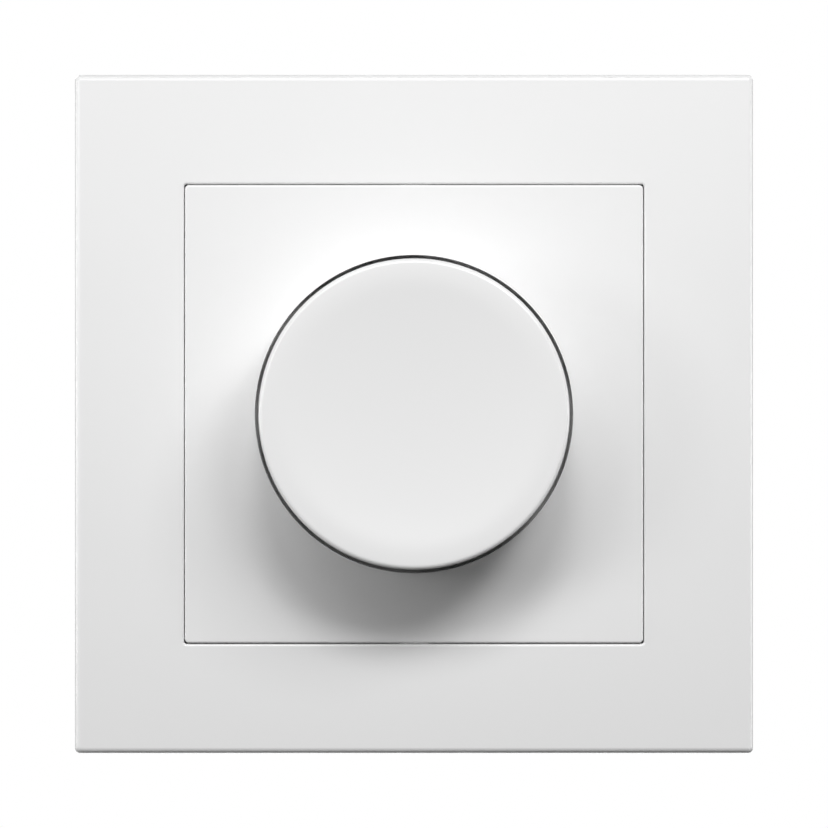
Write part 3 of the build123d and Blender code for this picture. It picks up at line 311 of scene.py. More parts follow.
# %% [markdown]
# ### Plastics, lacquers and ceramics
#
# All that shows from the front is one white plastic, smooth but not mirror bright. Its
# colour stops at 0.80, because the knob and the plate throw light on each other, and a
# brighter white would wash out the shadow between them. Behind it are grey housings,
# the board, and small parts with the coatings that such parts have. A row is the colour,
# the width and the depth of the grain, and the roughness.

# %% Plastics, lacquers and ceramics
MATERIALS = {}
for slot, row in {
    "white_moulding": ((0.80, 0.80, 0.80), 0.9 * MM, 0.0006 * MM, 0.24),
    "white_moulding_inner": ((0.85, 0.85, 0.82), 0.3 * MM, 0.002 * MM, 0.42),
    "grey_moulding": ((0.075, 0.08, 0.085), 0.10 * MM, 0.02 * MM, 0.55),
    "dark_moulding": ((0.02, 0.02, 0.021), 0.14 * MM, 0.008 * MM, 0.5),
    "yellow_moulding": ((0.62, 0.36, 0.03), 0.2 * MM, 0.004 * MM, 0.4),
    "can": ((0.015, 0.018, 0.03), 0.4 * MM, 0.002 * MM, 0.28),
    "ferrite": ((0.03, 0.03, 0.032), 0.12 * MM, 0.012 * MM, 0.6),
    "laminate": ((0.25, 0.12, 0.045), 0.25 * MM, 0.004 * MM, 0.5),
    "board": ((0.02, 0.12, 0.04), 0.5 * MM, 0.004 * MM, 0.3),
    "blue_coating": ((0.02, 0.08, 0.28), 0.6 * MM, 0.008 * MM, 0.25),
    "beige_coating": ((0.55, 0.40, 0.22), 0.5 * MM, 0.006 * MM, 0.32),
}.items():
    MATERIALS[slot] = moulded(slot, *row)
print("moulded finishes:", len(MATERIALS))

# %% [markdown]
# ### Metals
#
# The ring, the claws and the screws are zinc-plated steel, the bush and the contacts
# brass, the heat sink aluminium and the winding copper. A metal has no colour under its
# gloss, only the tint of what it mirrors. So a row holds two close tints for the clouds,
# the width of a cloud, the depth of the rolling lines, and the roughness.

# %% Metals
for slot, row in {
    "zinc_steel": ((0.62, 0.64, 0.67), (0.50, 0.52, 0.54), 2.5 * MM, 0.002 * MM, 0.36),
    "bright_steel": ((0.66, 0.66, 0.67), (0.60, 0.60, 0.61), 1.0 * MM, 0.001 * MM, 0.24),
    "spring_steel": ((0.48, 0.48, 0.50), (0.40, 0.40, 0.42), 0.8 * MM, 0.001 * MM, 0.26),
    "brass": ((0.78, 0.58, 0.26), (0.68, 0.48, 0.20), 1.5 * MM, 0.001 * MM, 0.30),
    "tinned_brass": ((0.72, 0.71, 0.68), (0.62, 0.61, 0.58), 1.0 * MM, 0.001 * MM, 0.38),
    "aluminium": ((0.76, 0.77, 0.78), (0.70, 0.71, 0.72), 2.0 * MM, 0.003 * MM, 0.42),
    "copper": ((0.62, 0.22, 0.09), (0.52, 0.17, 0.06), 1.0 * MM, 0.001 * MM, 0.22),
}.items():
    MATERIALS[slot] = plated(slot, *row)
print("finishes in all:", len(MATERIALS))

# %% [markdown]
# ## Dressing the construction's pieces
#
# A construction mesh is loose triangles. Each piece could be modelled again by hand, but
# a copy keeps the construction's sizes to the last digit. The copy gets its corners
# merged, so that a rounded edge can be shaded as one surface, and its normals weighted by
# face area, so that the large flats stay flat right up to the roundings. It then stands
# for the node, rides on the node's body and takes the node's slot.

# %% Copying and finishing a node
MERGE_DISTANCE = 0.002 * MM
SHARP_ANGLE = math.radians(32)
BODY_OF = {name: piece["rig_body"] for name, piece in frame["nodes"].items()}
SLOT_OF = {part["node"]: part["material_slot"] for part in frame["record"]["subparts"]}


def new_piece(name, mesh):
    """An object at the origin with a bmesh in it."""
    data = bpy.data.meshes.new(name)
    mesh.to_mesh(data)
    mesh.free()
    piece = bpy.data.objects.new(name, data)
    bpy.context.scene.collection.objects.link(piece)
    return piece


def merged_copy(node):
    """A copy of a node's mesh with its corners merged, as a bmesh."""
    mesh = bmesh.new()
    mesh.from_mesh(frame["nodes"][node].data)
    bmesh.ops.remove_doubles(mesh, verts=mesh.verts, dist=MERGE_DISTANCE)
    return mesh


def shade(piece):
    """Smooth shading that breaks at sharp edges and keeps large flats flat."""
    mesh = bmesh.new()
    mesh.from_mesh(piece.data)
    for face in mesh.faces:
        face.smooth = True
    for edge in mesh.edges:
        edge.smooth = edge.is_manifold and edge.calc_face_angle(0) < SHARP_ANGLE
    mesh.to_mesh(piece.data)
    mesh.free()
    weights = piece.modifiers.new("flat_faces_first", "WEIGHTED_NORMAL")
    weights.keep_sharp = True


def stand_for(piece, node):
    """Gives a finished piece the body, the slot and the material of the node it stands for."""
    slot = SLOT_OF[node]
    piece.data.materials.clear()
    piece.data.materials.append(MATERIALS[slot])
    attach(piece, BODY_OF[node])
    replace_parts(piece, node)
    return piece


print("nodes to dress:", len(SLOT_OF))

# %% [markdown]
# ## Turned and wound shapes
#
# A lathe and a thread winder both carry a section along a rail. Geometry Nodes do it in
# one tree each. The place of every section point and rail point is captured before the
# sweep, and set again after it, so that the result doesn't depend on how a curve's own
# normals happen to turn.

# %% Tree helpers
WELD_DISTANCE = MERGE_DISTANCE / 4


def new_tree(name, inputs):
    """A geometry tree with named inputs, and its two end nodes."""
    tree = bpy.data.node_groups.new(name, "GeometryNodeTree")
    tree.interface.new_socket(name="Geometry", in_out="INPUT", socket_type="NodeSocketGeometry")
    for label, kind, value in inputs:
        socket = tree.interface.new_socket(name=label, in_out="INPUT", socket_type=kind)
        if value is not None:
            socket.default_value = value
    tree.interface.new_socket(name="Geometry", in_out="OUTPUT", socket_type="NodeSocketGeometry")
    return tree, tree.nodes.new("NodeGroupInput"), tree.nodes.new("NodeGroupOutput")


def wire_up(tree, node_type, **values):
    """A node of a tree, with its named inputs set to numbers or linked to sockets."""
    node = tree.nodes.new(node_type)
    for label, value in values.items():
        socket = node.inputs[label.replace("_", " ")]
        if isinstance(value, bpy.types.NodeSocket):
            tree.links.new(value, socket)
        else:
            socket.default_value = value
    return node


def capture(tree, geometry, value, kind):
    """Keeps a value on a curve's points. Returns the geometry and the kept value."""
    node = tree.nodes.new("GeometryNodeCaptureAttribute")
    node.capture_items.new(kind, "kept")
    tree.links.new(geometry, node.inputs[0])
    tree.links.new(value, node.inputs[1])
    return node.outputs[0], node.outputs[1]


def finish_tree(tree, start, end, geometry):
    """Realize Instances and Set Material, which every tree ends in."""
    solid = wire_up(tree, "GeometryNodeRealizeInstances", Geometry=geometry)
    painted = wire_up(
        tree,
        "GeometryNodeSetMaterial",
        Geometry=solid.outputs[0],
        Material=start.outputs["Material"],
    )
    tree.links.new(painted.outputs[0], end.inputs[0])


def grow(name, tree, values, source=None):
    """The plain mesh that a tree makes with these inputs, as a bmesh."""
    data = source or bpy.data.meshes.new(name)
    seed = bpy.data.objects.new(name, data)
    bpy.context.scene.collection.objects.link(seed)
    modifier = seed.modifiers.new("grow", "NODES")
    modifier.node_group = tree
    for item in tree.interface.items_tree:
        if item.in_out == "INPUT" and item.name in values:
            modifier[item.identifier] = values[item.name]
    graph = bpy.context.evaluated_depsgraph_get()
    made = bpy.data.meshes.new_from_object(seed.evaluated_get(graph))
    seed.modifiers.remove(modifier)
    bpy.data.objects.remove(seed)
    mesh = bmesh.new()
    mesh.from_mesh(made)
    bmesh.ops.remove_doubles(mesh, verts=mesh.verts, dist=WELD_DISTANCE)
    bmesh.ops.recalc_face_normals(mesh, faces=mesh.faces)
    return mesh


print("tree helpers ready")

# %% [markdown]
# ### The lathe
#
# The knob is a body of revolution. Its section is drawn once, as a flat outline with x
# for the radius and y for the level, and the lathe carries it round the y axis. A Screw
# modifier could do the same. A tree is used because the knob and the cutter for its hub
# then share it, each with its own number of segments and its own material.


# %% Lathe tree
def make_lathe():
    """Carries the outline in the input curve round the y axis."""
    tree, start, end = new_tree(
        "lathe", [("Segments", "NodeSocketInt", 96), ("Material", "NodeSocketMaterial", None)]
    )
    point = tree.nodes.new("GeometryNodeInputPosition").outputs[0]
    index = tree.nodes.new("GeometryNodeInputIndex").outputs[0]
    outline, outline_point = capture(tree, start.outputs["Geometry"], point, "VECTOR")
    circle = wire_up(tree, "GeometryNodeCurvePrimitiveCircle", Resolution=start.outputs["Segments"])
    rail, step = capture(tree, circle.outputs[0], index, "FLOAT")
    swept = wire_up(tree, "GeometryNodeCurveToMesh", Curve=rail, Profile_Curve=outline)
    share = math_node(tree, "DIVIDE", step, start.outputs["Segments"])
    angle = math_node(tree, "MULTIPLY", share, 2 * math.pi)
    parts = wire_up(tree, "ShaderNodeSeparateXYZ", Vector=outline_point)
    across = math_node(tree, "MULTIPLY", parts.outputs["X"], math_node(tree, "COSINE", angle, 0))
    up = math_node(tree, "MULTIPLY", parts.outputs["X"], math_node(tree, "SINE", angle, 0))
    place = wire_up(tree, "ShaderNodeCombineXYZ", X=across, Y=parts.outputs["Y"], Z=up)
    turned = wire_up(
        tree, "GeometryNodeSetPosition", Geometry=swept.outputs[0], Position=place.outputs[0]
    )
    closed = wire_up(tree, "GeometryNodeMergeByDistance", Geometry=turned.outputs[0])
    closed.inputs["Distance"].default_value = WELD_DISTANCE
    finish_tree(tree, start, end, closed.outputs[0])
    return tree


LATHE = make_lathe()


def turned(name, outline, segments, material):
    """A closed solid of revolution about y, from its outline of (radius, level) points."""
    curve = bpy.data.curves.new(name, "CURVE")
    curve.dimensions = "3D"
    spline = curve.splines.new("POLY")
    spline.points.add(len(outline) - 1)
    for point, (radius, level) in zip(spline.points, outline):
        point.co = (radius, level, 0, 1)
    return grow(name, LATHE, {"Segments": segments, "Material": material}, source=curve)


print("tree", LATHE.name)

# %% [markdown]
# ### The winder
#
# A thread is a small section that climbs round an axis. Here the section has four
# sides: a sharp ridge, half sunk in the screw's core. A boolean could cut a groove, as a
# die does, but on a shape this fine it is slow and breaks easily, so the ridge is laid
# on instead. The spiral is reversed, because Blender's own is left-handed and nearly all
# screws are right-handed.

# %% Winder tree
RIDGE_SIDES = 4


def make_winder():
    """A right-handed ridge that climbs round the z axis."""
    tree, start, end = new_tree(
        "winder",
        [
            ("Radius", "NodeSocketFloat", 1.5 * MM),
            ("Length", "NodeSocketFloat", 10 * MM),
            ("Turns", "NodeSocketFloat", 20.0),
            ("Depth", "NodeSocketFloat", 0.25 * MM),
            ("Height", "NodeSocketFloat", 0.2 * MM),
            ("Steps", "NodeSocketInt", 24),
            ("Material", "NodeSocketMaterial", None),
        ],
    )
    point = tree.nodes.new("GeometryNodeInputPosition").outputs[0]
    section = wire_up(tree, "GeometryNodeCurvePrimitiveCircle", Resolution=RIDGE_SIDES)
    section.inputs["Radius"].default_value = 1.0
    outline, outline_point = capture(tree, section.outputs[0], point, "VECTOR")
    spiral = wire_up(
        tree,
        "GeometryNodeCurveSpiral",
        Resolution=start.outputs["Steps"],
        Rotations=start.outputs["Turns"],
        Start_Radius=start.outputs["Radius"],
        End_Radius=start.outputs["Radius"],
        Height=start.outputs["Length"],
        Reverse=True,
    )
    rail, rail_point = capture(tree, spiral.outputs[0], point, "VECTOR")
    swept = wire_up(
        tree, "GeometryNodeCurveToMesh", Curve=rail, Profile_Curve=outline, Fill_Caps=True
    )
    flat = wire_up(tree, "ShaderNodeSeparateXYZ", Vector=rail_point)
    parts = wire_up(tree, "ShaderNodeSeparateXYZ", Vector=outline_point)
    outward = math_node(tree, "MULTIPLY", parts.outputs["X"], start.outputs["Depth"])
    grown = math_node(tree, "DIVIDE", outward, start.outputs["Radius"])
    factor = math_node(tree, "ADD", grown, 1.0)
    climb = math_node(tree, "MULTIPLY", parts.outputs["Y"], start.outputs["Height"])
    place = wire_up(
        tree,
        "ShaderNodeCombineXYZ",
        X=math_node(tree, "MULTIPLY", flat.outputs["X"], factor),
        Y=math_node(tree, "MULTIPLY", flat.outputs["Y"], factor),
        Z=math_node(tree, "ADD", flat.outputs["Z"], climb),
    )
    wound = wire_up(
        tree, "GeometryNodeSetPosition", Geometry=swept.outputs[0], Position=place.outputs[0]
    )
    finish_tree(tree, start, end, wound.outputs[0])
    return tree


WINDER = make_winder()
print("tree", WINDER.name)

# %% [markdown]
# ## The knob
#
# The knob is a hollow moulding. Its face is dished, so that a fingertip finds the
# middle: it slopes down from the rim, and the slope fades out towards the middle and
# again just before the rounded rim. It is the piece that the eye goes to. Smoothing the
# construction's mesh would leave its facets in the soft light along the rim, so the
# shell is turned afresh with a fine section.

# %% Knob shell
KNOB_TAPER = 0.15 * MM
KNOB_RIM_ROUND = 0.55 * MM
KNOB_WALL = 1.5 * MM
KNOB_UNDER_ROOF = KNOB_FRONT + 2.4 * MM
KNOB_SEGMENTS = 256
DISH_SLOPE = 0.15
DISH_EASE = 3.3 * MM
DISH_STEPS = 40
RIM_STEPS = 12


def dish_rise(radius, edge):
    """How far the dish has risen from its middle, at a radius."""
    steep = edge - DISH_EASE
    if radius < steep:
        return DISH_SLOPE * radius**2 / (2 * steep)
    past = radius - steep
    wave = DISH_EASE / math.pi * math.sin(math.pi * past / DISH_EASE)
    return DISH_SLOPE / 2 * (steep + past + wave)


def knob_outline():
    """The shell's section: dish, rim, side, rear edge and the inside."""
    front_radius = KNOB_RADIUS - KNOB_TAPER
    edge = front_radius - KNOB_RIM_ROUND
    depth = dish_rise(edge, edge)
    points = []
    for step in range(DISH_STEPS + 1):
        radius = edge * step / DISH_STEPS
        points.append((radius, KNOB_FRONT + depth - dish_rise(radius, edge)))
    for step in range(1, RIM_STEPS + 1):
        angle = math.pi / 2 * step / RIM_STEPS
        radius = edge + KNOB_RIM_ROUND * math.sin(angle)
        points.append((radius, KNOB_FRONT + KNOB_RIM_ROUND * (1 - math.cos(angle))))
    inner = front_radius - KNOB_WALL
    points += [(KNOB_RADIUS, KNOB_REAR), (inner, KNOB_REAR)]
    return points + [(inner, KNOB_UNDER_ROOF), (0, KNOB_UNDER_ROOF)]


lathed = turned("knob_shell", knob_outline(), KNOB_SEGMENTS, MATERIALS["white_moulding"])
shell = new_piece("knob_shell", lathed)
print("knob shell faces:", len(shell.data.polygons))

# %% [markdown]
# ### The hub and ribs
#
# Inside the knob a slotted hub grips the spindle, and six ribs run from it to the wall.
# They are hidden and square-edged, so the construction's own are good enough. A turned
# cutter frees them from the old shell, a little larger than the room inside the new
# one, and a union joins the two through that narrow band of overlap.

# %% Knob hub and ribs
HUB_BAND = 0.4 * MM
CUT_PAST = 1 * MM


def combined(name, operation, first, second):
    """One piece from two by a boolean. The two are removed."""
    boolean = first.modifiers.new("combine", "BOOLEAN")
    boolean.operation = operation
    boolean.solver = "EXACT"
    boolean.object = second
    graph = bpy.context.evaluated_depsgraph_get()
    data = bpy.data.meshes.new_from_object(first.evaluated_get(graph))
    for thing in (first, second):
        bpy.data.objects.remove(thing)
    piece = bpy.data.objects.new(name, data)
    bpy.context.scene.collection.objects.link(piece)
    return piece


def inner_part(node, outer_radius, front):
    """What a node has inside a radius and behind a level."""
    core = new_piece(node + "_core", merged_copy(node))
    low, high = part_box(node)
    rear = high.y + CUT_PAST
    outline = [(0, front), (outer_radius, front), (outer_radius, rear), (0, rear)]
    cutter = new_piece("cutter", turned("cutter", outline, KNOB_SEGMENTS, None))
    return combined(node + "_inner", "INTERSECT", core, cutter)


band = KNOB_RADIUS - KNOB_TAPER - KNOB_WALL + HUB_BAND
inside = inner_part("knob", band, KNOB_UNDER_ROOF - HUB_BAND)
knob = combined("knob_turned", "UNION", shell, inside)
shade(knob)
stand_for(knob, "knob")
print("knob faces:", len(knob.data.polygons))

# %% [markdown]
# ## Screws
#
# The construction leaves threads out. Each screw here is the construction's own solid
# with its shank drawn in to the thread's root, and a wound ridge that comes back out to
# the shank's true radius. A node may hold several screws, so its separate solids are
# found first and each gets its own ridge.

# %% Thread helpers
RIDGE_STEPS = 20
SHANK_TOLERANCE = 0.02 * MM
ACROSS = {"y": (0, 2), "z": (0, 1)}
ALONG = {"y": 1, "z": 2}
TURN_FROM_Z = {"y": Matrix.Rotation(math.radians(-90), 4, "X"), "z": Matrix.Identity(4)}


def solids_of(mesh):
    """The vertices of each separate solid, in the mesh's order, so that runs agree."""
    waiting = set(mesh.verts)
    found = []
    for first in mesh.verts:
        if first not in waiting:
            continue
        waiting.remove(first)
        reached = [first]
        solid = []
        while reached:
            vert = reached.pop()
            solid.append(vert)
            near = {edge.other_vert(vert) for edge in vert.link_edges} & waiting
            waiting -= near
            reached.extend(near)
        found.append(solid)
    return found


def middle_of(solid, index):
    """The middle of a solid's extent along one direction."""
    places = [vert.co[index] for vert in solid]
    return (min(places) + max(places)) / 2


def off_axis(vert, across, middle):
    """How far a vertex is from an axis."""
    return math.hypot(*(vert.co[index] - place for index, place in zip(across, middle)))


def add_ridge(mesh, axis, middle, low, high, root, depth, pitch, fill):
    """Winds a ridge round an axis, from one level to another, into a mesh."""
    height = pitch * fill
    length = high - low - 2 * height
    values = {"Radius": root, "Length": length, "Turns": length / pitch, "Depth": depth}
    values.update({"Height": height, "Steps": RIDGE_STEPS})
    ridge = grow("ridge", WINDER, values)
    place = [0.0, 0.0, 0.0]
    for index, value in zip(ACROSS[axis], middle):
        place[index] = value
    place[ALONG[axis]] = low + height
    ridge.transform(Matrix.Translation(place) @ TURN_FROM_Z[axis])
    data = bpy.data.meshes.new("ridge")
    ridge.to_mesh(data)
    ridge.free()
    mesh.from_mesh(data)
    bpy.data.meshes.remove(data)


def threaded(node, axis, radius, pitch, depth, fill):
    """A node's copy with a thread cut in every shank of this radius."""
    mesh = merged_copy(node)
    across = ACROSS[axis]
    root = radius - depth
    for solid in solids_of(mesh):
        middle = [middle_of(solid, index) for index in across]
        shank = [
            vert
            for vert in solid
            if abs(off_axis(vert, across, middle) - radius) < SHANK_TOLERANCE
        ]
        levels = [vert.co[ALONG[axis]] for vert in shank]
        for vert in shank:
            for index, value in zip(across, middle):
                vert.co[index] = value + (vert.co[index] - value) * root / radius
        add_ridge(mesh, axis, middle, min(levels), max(levels), root, depth, pitch, fill)
    return mesh


print("thread helpers ready")

# %% [markdown]
# ### Three threads
#
# The claw and terminal screws have a fine machine thread and the bush a larger one,
# and both have ridges that all but touch. The tapping screws cut their own way into
# plastic, so their ridges stand well apart. A thread is the shank's radius, the pitch,
# the depth, and half a ridge's width as a share of the pitch.

# %% Threaded screws
MACHINE = (1.5 * MM, 0.5 * MM, 0.24 * MM, 0.47)
TAPPING = (1.2 * MM, 0.9 * MM, 0.25 * MM, 0.22)
BUSH = (5.0 * MM, 0.75 * MM, 0.3 * MM, 0.47)
for node, axis, thread in (
    ("left_claw_screw", "y", MACHINE),
    ("right_claw_screw", "y", MACHINE),
    ("terminal_screw_1", "z", MACHINE),
    ("terminal_screw_2", "z", MACHINE),
    ("terminal_screw_3", "z", MACHINE),
    ("housing_screws", "y", TAPPING),
    ("ring_screws", "y", TAPPING),
    ("threaded_bush", "y", BUSH),
):
    screw = new_piece(node + "_threaded", threaded(node, axis, *thread))
    shade(screw)
    stand_for(screw, node)
    print(node, len(screw.data.polygons), "faces")

# %% [markdown]
# ## The choke's winding
#
# The suppression choke is a ring core with thick enamelled wire round it. The
# construction draws the winding as one sleeve with a mouth where its ends part. Here
# the turns are single: one turn is swept and set round the ring at even headings. They
# lie side by side in the eye of the ring and spread apart on its outside. A real
# winding is one long wire, but the short steps between its turns lie hidden in the eye.

# %% Winding tree
BEND_STEPS = 5
WIRE_SIDES = 10


def make_coil():
    """Turns of wire round a ring's section, set at even headings about the z axis."""
    tree, start, end = new_tree(
        "ring_winding",
        [
            ("Turns", "NodeSocketInt", 14),
            ("First", "NodeSocketFloat", 0.0),
            ("Step", "NodeSocketFloat", 0.4),
            ("Middle", "NodeSocketFloat", 3.7 * MM),
            ("Width", "NodeSocketFloat", 3.4 * MM),
            ("Height", "NodeSocketFloat", 5.8 * MM),
            ("Wire", "NodeSocketFloat", 0.3 * MM),
            ("Material", "NodeSocketMaterial", None),
        ],
    )
    corners = wire_up(
        tree,
        "GeometryNodeCurvePrimitiveQuadrilateral",
        Width=start.outputs["Width"],
        Height=start.outputs["Height"],
    )
    loop = tree.nodes.new("GeometryNodeFilletCurve")
    loop.mode = "POLY"
    tree.links.new(corners.outputs[0], loop.inputs["Curve"])
    tree.links.new(start.outputs["Wire"], loop.inputs["Radius"])
    loop.inputs["Count"].default_value = BEND_STEPS
    section = wire_up(tree, "GeometryNodeCurvePrimitiveCircle", Resolution=WIRE_SIDES)
    tree.links.new(start.outputs["Wire"], section.inputs["Radius"])
    wire = wire_up(
        tree, "GeometryNodeCurveToMesh", Curve=loop.outputs[0], Profile_Curve=section.outputs[0]
    )
    aside = wire_up(tree, "ShaderNodeCombineXYZ", X=start.outputs["Middle"])
    upright = wire_up(
        tree,
        "GeometryNodeTransform",
        Geometry=wire.outputs[0],
        Rotation=(math.pi / 2, 0, 0),
        Translation=aside.outputs[0],
    )
    points = wire_up(tree, "GeometryNodePoints", Count=start.outputs["Turns"])
    index = tree.nodes.new("GeometryNodeInputIndex").outputs[0]
    turn = math_node(tree, "MULTIPLY", index, start.outputs["Step"])
    heading = math_node(tree, "ADD", turn, start.outputs["First"])
    spin = wire_up(tree, "ShaderNodeCombineXYZ", Z=heading)
    turns = wire_up(
        tree,
        "GeometryNodeInstanceOnPoints",
        Points=points.outputs[0],
        Instance=upright.outputs[0],
        Rotation=spin.outputs[0],
    )
    finish_tree(tree, start, end, turns.outputs[0])
    return tree


COIL = make_coil()
print("tree", COIL.name)

# %% [markdown]
# ### Winding the choke
#
# The outside and the height come from the frame. The first and the last turn just touch
# the edges of the mouth, and the others share the way between them evenly.

# %% Wind the choke
COIL_TURNS = 14
COIL_WIRE = 0.3 * MM
COIL_INNER = 2.0 * MM
COIL_MOUTH = math.radians(50)
COIL_HEADING = math.radians(45)

low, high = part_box("choke_winding")
outer = (high.x - low.x) / 2
first = COIL_HEADING + COIL_MOUTH / 2 + COIL_WIRE / COIL_INNER
last = COIL_HEADING + 2 * math.pi - COIL_MOUTH / 2 - COIL_WIRE / COIL_INNER
values = {
    "Turns": COIL_TURNS,
    "First": first,
    "Step": (last - first) / (COIL_TURNS - 1),
    "Middle": (outer + COIL_INNER) / 2,
    "Width": outer - COIL_INNER - 2 * COIL_WIRE,
    "Height": high.y - low.y - 2 * COIL_WIRE,
    "Wire": COIL_WIRE,
    "Material": MATERIALS["copper"],
}
coil = grow("coil", COIL, values)
coil.transform(Matrix.Translation((low + high) / 2) @ TURN_FROM_Z["y"])
winding = new_piece("choke_turns", coil)
shade(winding)
stand_for(winding, "choke_winding")
print("choke winding:", COIL_TURNS, "turns,", len(winding.data.polygons), "faces")

# %% [markdown]
# ## The rest of the pieces
#
# Every other node keeps the construction's form. Punched sheet and plain mouldings get a
# hair of rounding on their edges, which catches the light as real edges do. A bevel in
# the shader would be cheaper, but only real geometry also shows in the outline. Flat
# faces are joined first, so that only real edges are rounded.

# %% Soft edges
SHEET_EDGE = 0.12 * MM
MOULD_EDGE = 0.16 * MM
SOFT_EDGES = dict.fromkeys(
    (
        "left_claw", "right_claw", "support_ring", "heat_sink", "contact_bars", "contact_bridge",
        "terminal_clamp_1", "terminal_clamp_2", "terminal_clamp_3", "potentiometer_case",
    ),
    SHEET_EDGE,
)
SOFT_EDGES.update(
    dict.fromkeys(
        (
            "housing_front", "housing_rear", "terminal_block", "switch_case", "power_transistors",
            "controller_chip", "film_capacitor", "spindle_nut",
        ),
        MOULD_EDGE,
    )
)
FLAT = math.radians(0.5)
EDGE_STEPS = 2


def soften(piece, width):
    """Joins a piece's flat faces and rounds its sharp edges by a small width."""
    mesh = bmesh.new()
    mesh.from_mesh(piece.data)
    bmesh.ops.dissolve_limit(mesh, angle_limit=FLAT, verts=mesh.verts, edges=mesh.edges)
    mesh.to_mesh(piece.data)
    mesh.free()
    rounding = piece.modifiers.new("soft_edges", "BEVEL")
    rounding.width = width
    rounding.segments = EDGE_STEPS
    rounding.limit_method = "ANGLE"
    rounding.angle_limit = SHARP_ANGLE


print("soft edges on", len(SOFT_EDGES), "nodes")

# %% [markdown]
# ### Dressing what is left
#
# A piece keeps a list of the nodes that it stands for. Whatever is on no list yet gets
# its copy here.

# %% Dress the rest
done = {node for piece in bpy.data.objects for node in piece.get("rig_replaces", [])}
for node in sorted(SLOT_OF):
    if node not in done:
        piece = new_piece(node + "_dressed", merged_copy(node))
        if node in SOFT_EDGES:
            soften(piece, SOFT_EDGES[node])
        shade(piece)
        stand_for(piece, node)
print("dressed", len(SLOT_OF) - len(done), "nodes")

# %% [markdown]
# ### The return spring
#
# The spring under the switch's bridge stands on the switch base. In the real insert it shortens by
# the knob's travel as the knob is pressed, and its rear end stays where it is. Riding on the
# plunger it would sink into the base, and standing still it would be cut by the bridge. Here the
# spring only gets a mesh of its own, and nothing in this script makes it shorten.

# %% The spring's own mesh
low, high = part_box("return_spring")
spring = bpy.data.objects["return_spring_dressed"]
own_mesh(spring)

# %% [markdown]
# ## Studio
#
# A product like this is shot straight on through a long lens, in front of pure white,
# with soft lamps above.
#
# ### Camera
#
# From two metres away the depth of the object hardly changes its outline, so the frame
# is as square in the picture as in the hand. The lens follows from the distance and
# from how much is to fit across the picture.

# %% Camera
PICTURE_WIDTH = 99.13 * MM
CAMERA_DISTANCE = 2.0
SENSOR = 36.0

camera_data = bpy.data.cameras.new("camera")
camera_data.sensor_width = SENSOR
camera_data.lens = SENSOR * CAMERA_DISTANCE / PICTURE_WIDTH
camera_data.clip_start = 0.1
camera_data.clip_end = 20.0
camera = bpy.data.objects.new("camera", camera_data)
camera.location = (0, FRAME_FRONT - CAMERA_DISTANCE, 0)
camera.rotation_euler = (math.radians(90), 0, 0)
bpy.context.scene.collection.objects.link(camera)
bpy.context.scene.camera = camera
print("lens", round(camera_data.lens, 1), "mm")

# %% [markdown]
# ### World
#
# A white wall would light the object from behind and all round. So the world is white
# only where the camera, a reflection or a clear part sees it, and almost dark where it
# lights the object, which keeps its own shading.

# %% World
AMBIENT = 0.01
world = bpy.data.worlds.new("studio")
bpy.context.scene.world = world
world.use_nodes = True
tree = world.node_tree
for node in list(tree.nodes):
    tree.nodes.remove(node)
path = tree.nodes.new("ShaderNodeLightPath")
seen = math_node(tree, "MAXIMUM", path.outputs["Is Camera Ray"], path.outputs["Is Glossy Ray"])
seen = math_node(tree, "MAXIMUM", seen, path.outputs["Is Transmission Ray"])
dim = tree.nodes.new("ShaderNodeBackground")
dim.inputs["Strength"].default_value = AMBIENT
white = tree.nodes.new("ShaderNodeBackground")
for background in (dim, white):
    background.inputs["Color"].default_value = (1, 1, 1, 1)
choose = tree.nodes.new("ShaderNodeMixShader")
tree.links.new(seen, choose.inputs["Fac"])
tree.links.new(dim.outputs[0], choose.inputs[1])
tree.links.new(white.outputs[0], choose.inputs[2])
tree.links.new(choose.outputs[0], tree.nodes.new("ShaderNodeOutputWorld").inputs["Surface"])
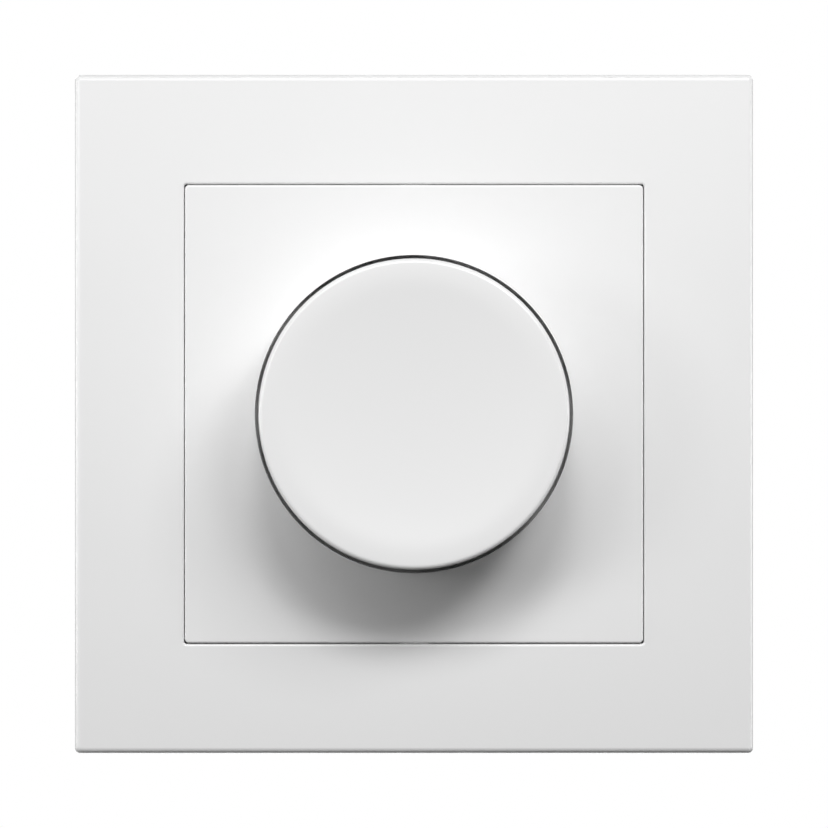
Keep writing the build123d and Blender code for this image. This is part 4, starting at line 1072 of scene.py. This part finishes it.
print("ambient", AMBIENT)

# %% [markdown]
# ### Lamps
#
# The photo's shadow is a soft fan below the knob. It comes from several lamps in an arc
# above the camera, so each lamp is placed by two angles: its tilt away from the camera's
# line, and its heading clockwise from straight up. The two at the sides graze the front
# and brush the rounded edges of the frame. The three behind are there for the rear views
# and don't reach the front. Nothing stands below: a floor would throw light up into the
# shadow, and the photo shows the dimmer alone on white. A row is the lamp's name, its
# tilt and heading in degrees, its distance and size in metres, and its power in watts.

# %% Lamps
LAMPS = (
    ("top", 32, 0, 0.45, 0.12, 0.68),
    ("upper_left", 32, -30, 0.45, 0.12, 0.26),
    ("left", 32, -60, 0.45, 0.12, 0.15),
    ("far_left", 44, -80, 0.45, 0.12, 0.25),
    ("upper_right", 32, 30, 0.45, 0.12, 0.50),
    ("far_right", 44, 40, 0.45, 0.12, 0.39),
    ("brush_left", 86, -90, 0.45, 0.12, 0.60),
    ("brush_right", 86, 90, 0.45, 0.12, 0.50),
    ("rear_left", 135, -50, 0.50, 0.30, 0.8),
    ("rear_right", 140, 60, 0.50, 0.20, 0.5),
    ("rear_low", 150, 180, 0.50, 0.30, 0.2),
)


def place_of(tilt, heading, distance):
    """Where a lamp stands, from its two angles in degrees."""
    tilt, heading = math.radians(tilt), math.radians(heading)
    side = distance * math.sin(tilt)
    return (side * math.sin(heading), -distance * math.cos(tilt), side * math.cos(heading))


for name, tilt, heading, distance, size, power in LAMPS:
    lamp_data = bpy.data.lights.new(name, "AREA")
    lamp_data.shape = "DISK"
    lamp_data.size = size
    lamp_data.energy = power
    lamp = bpy.data.objects.new(name, lamp_data)
    lamp.location = place_of(tilt, heading, distance)
    lamp.rotation_euler = (-lamp.location).to_track_quat("-Z", "Y").to_euler()
    bpy.context.scene.collection.objects.link(lamp)
print("lamps:", len(LAMPS))

# %% [markdown]
# ## View transform
#
# The picture is shown through the Standard view transform.

# %% View transform
bpy.context.scene.view_settings.view_transform = "Standard"
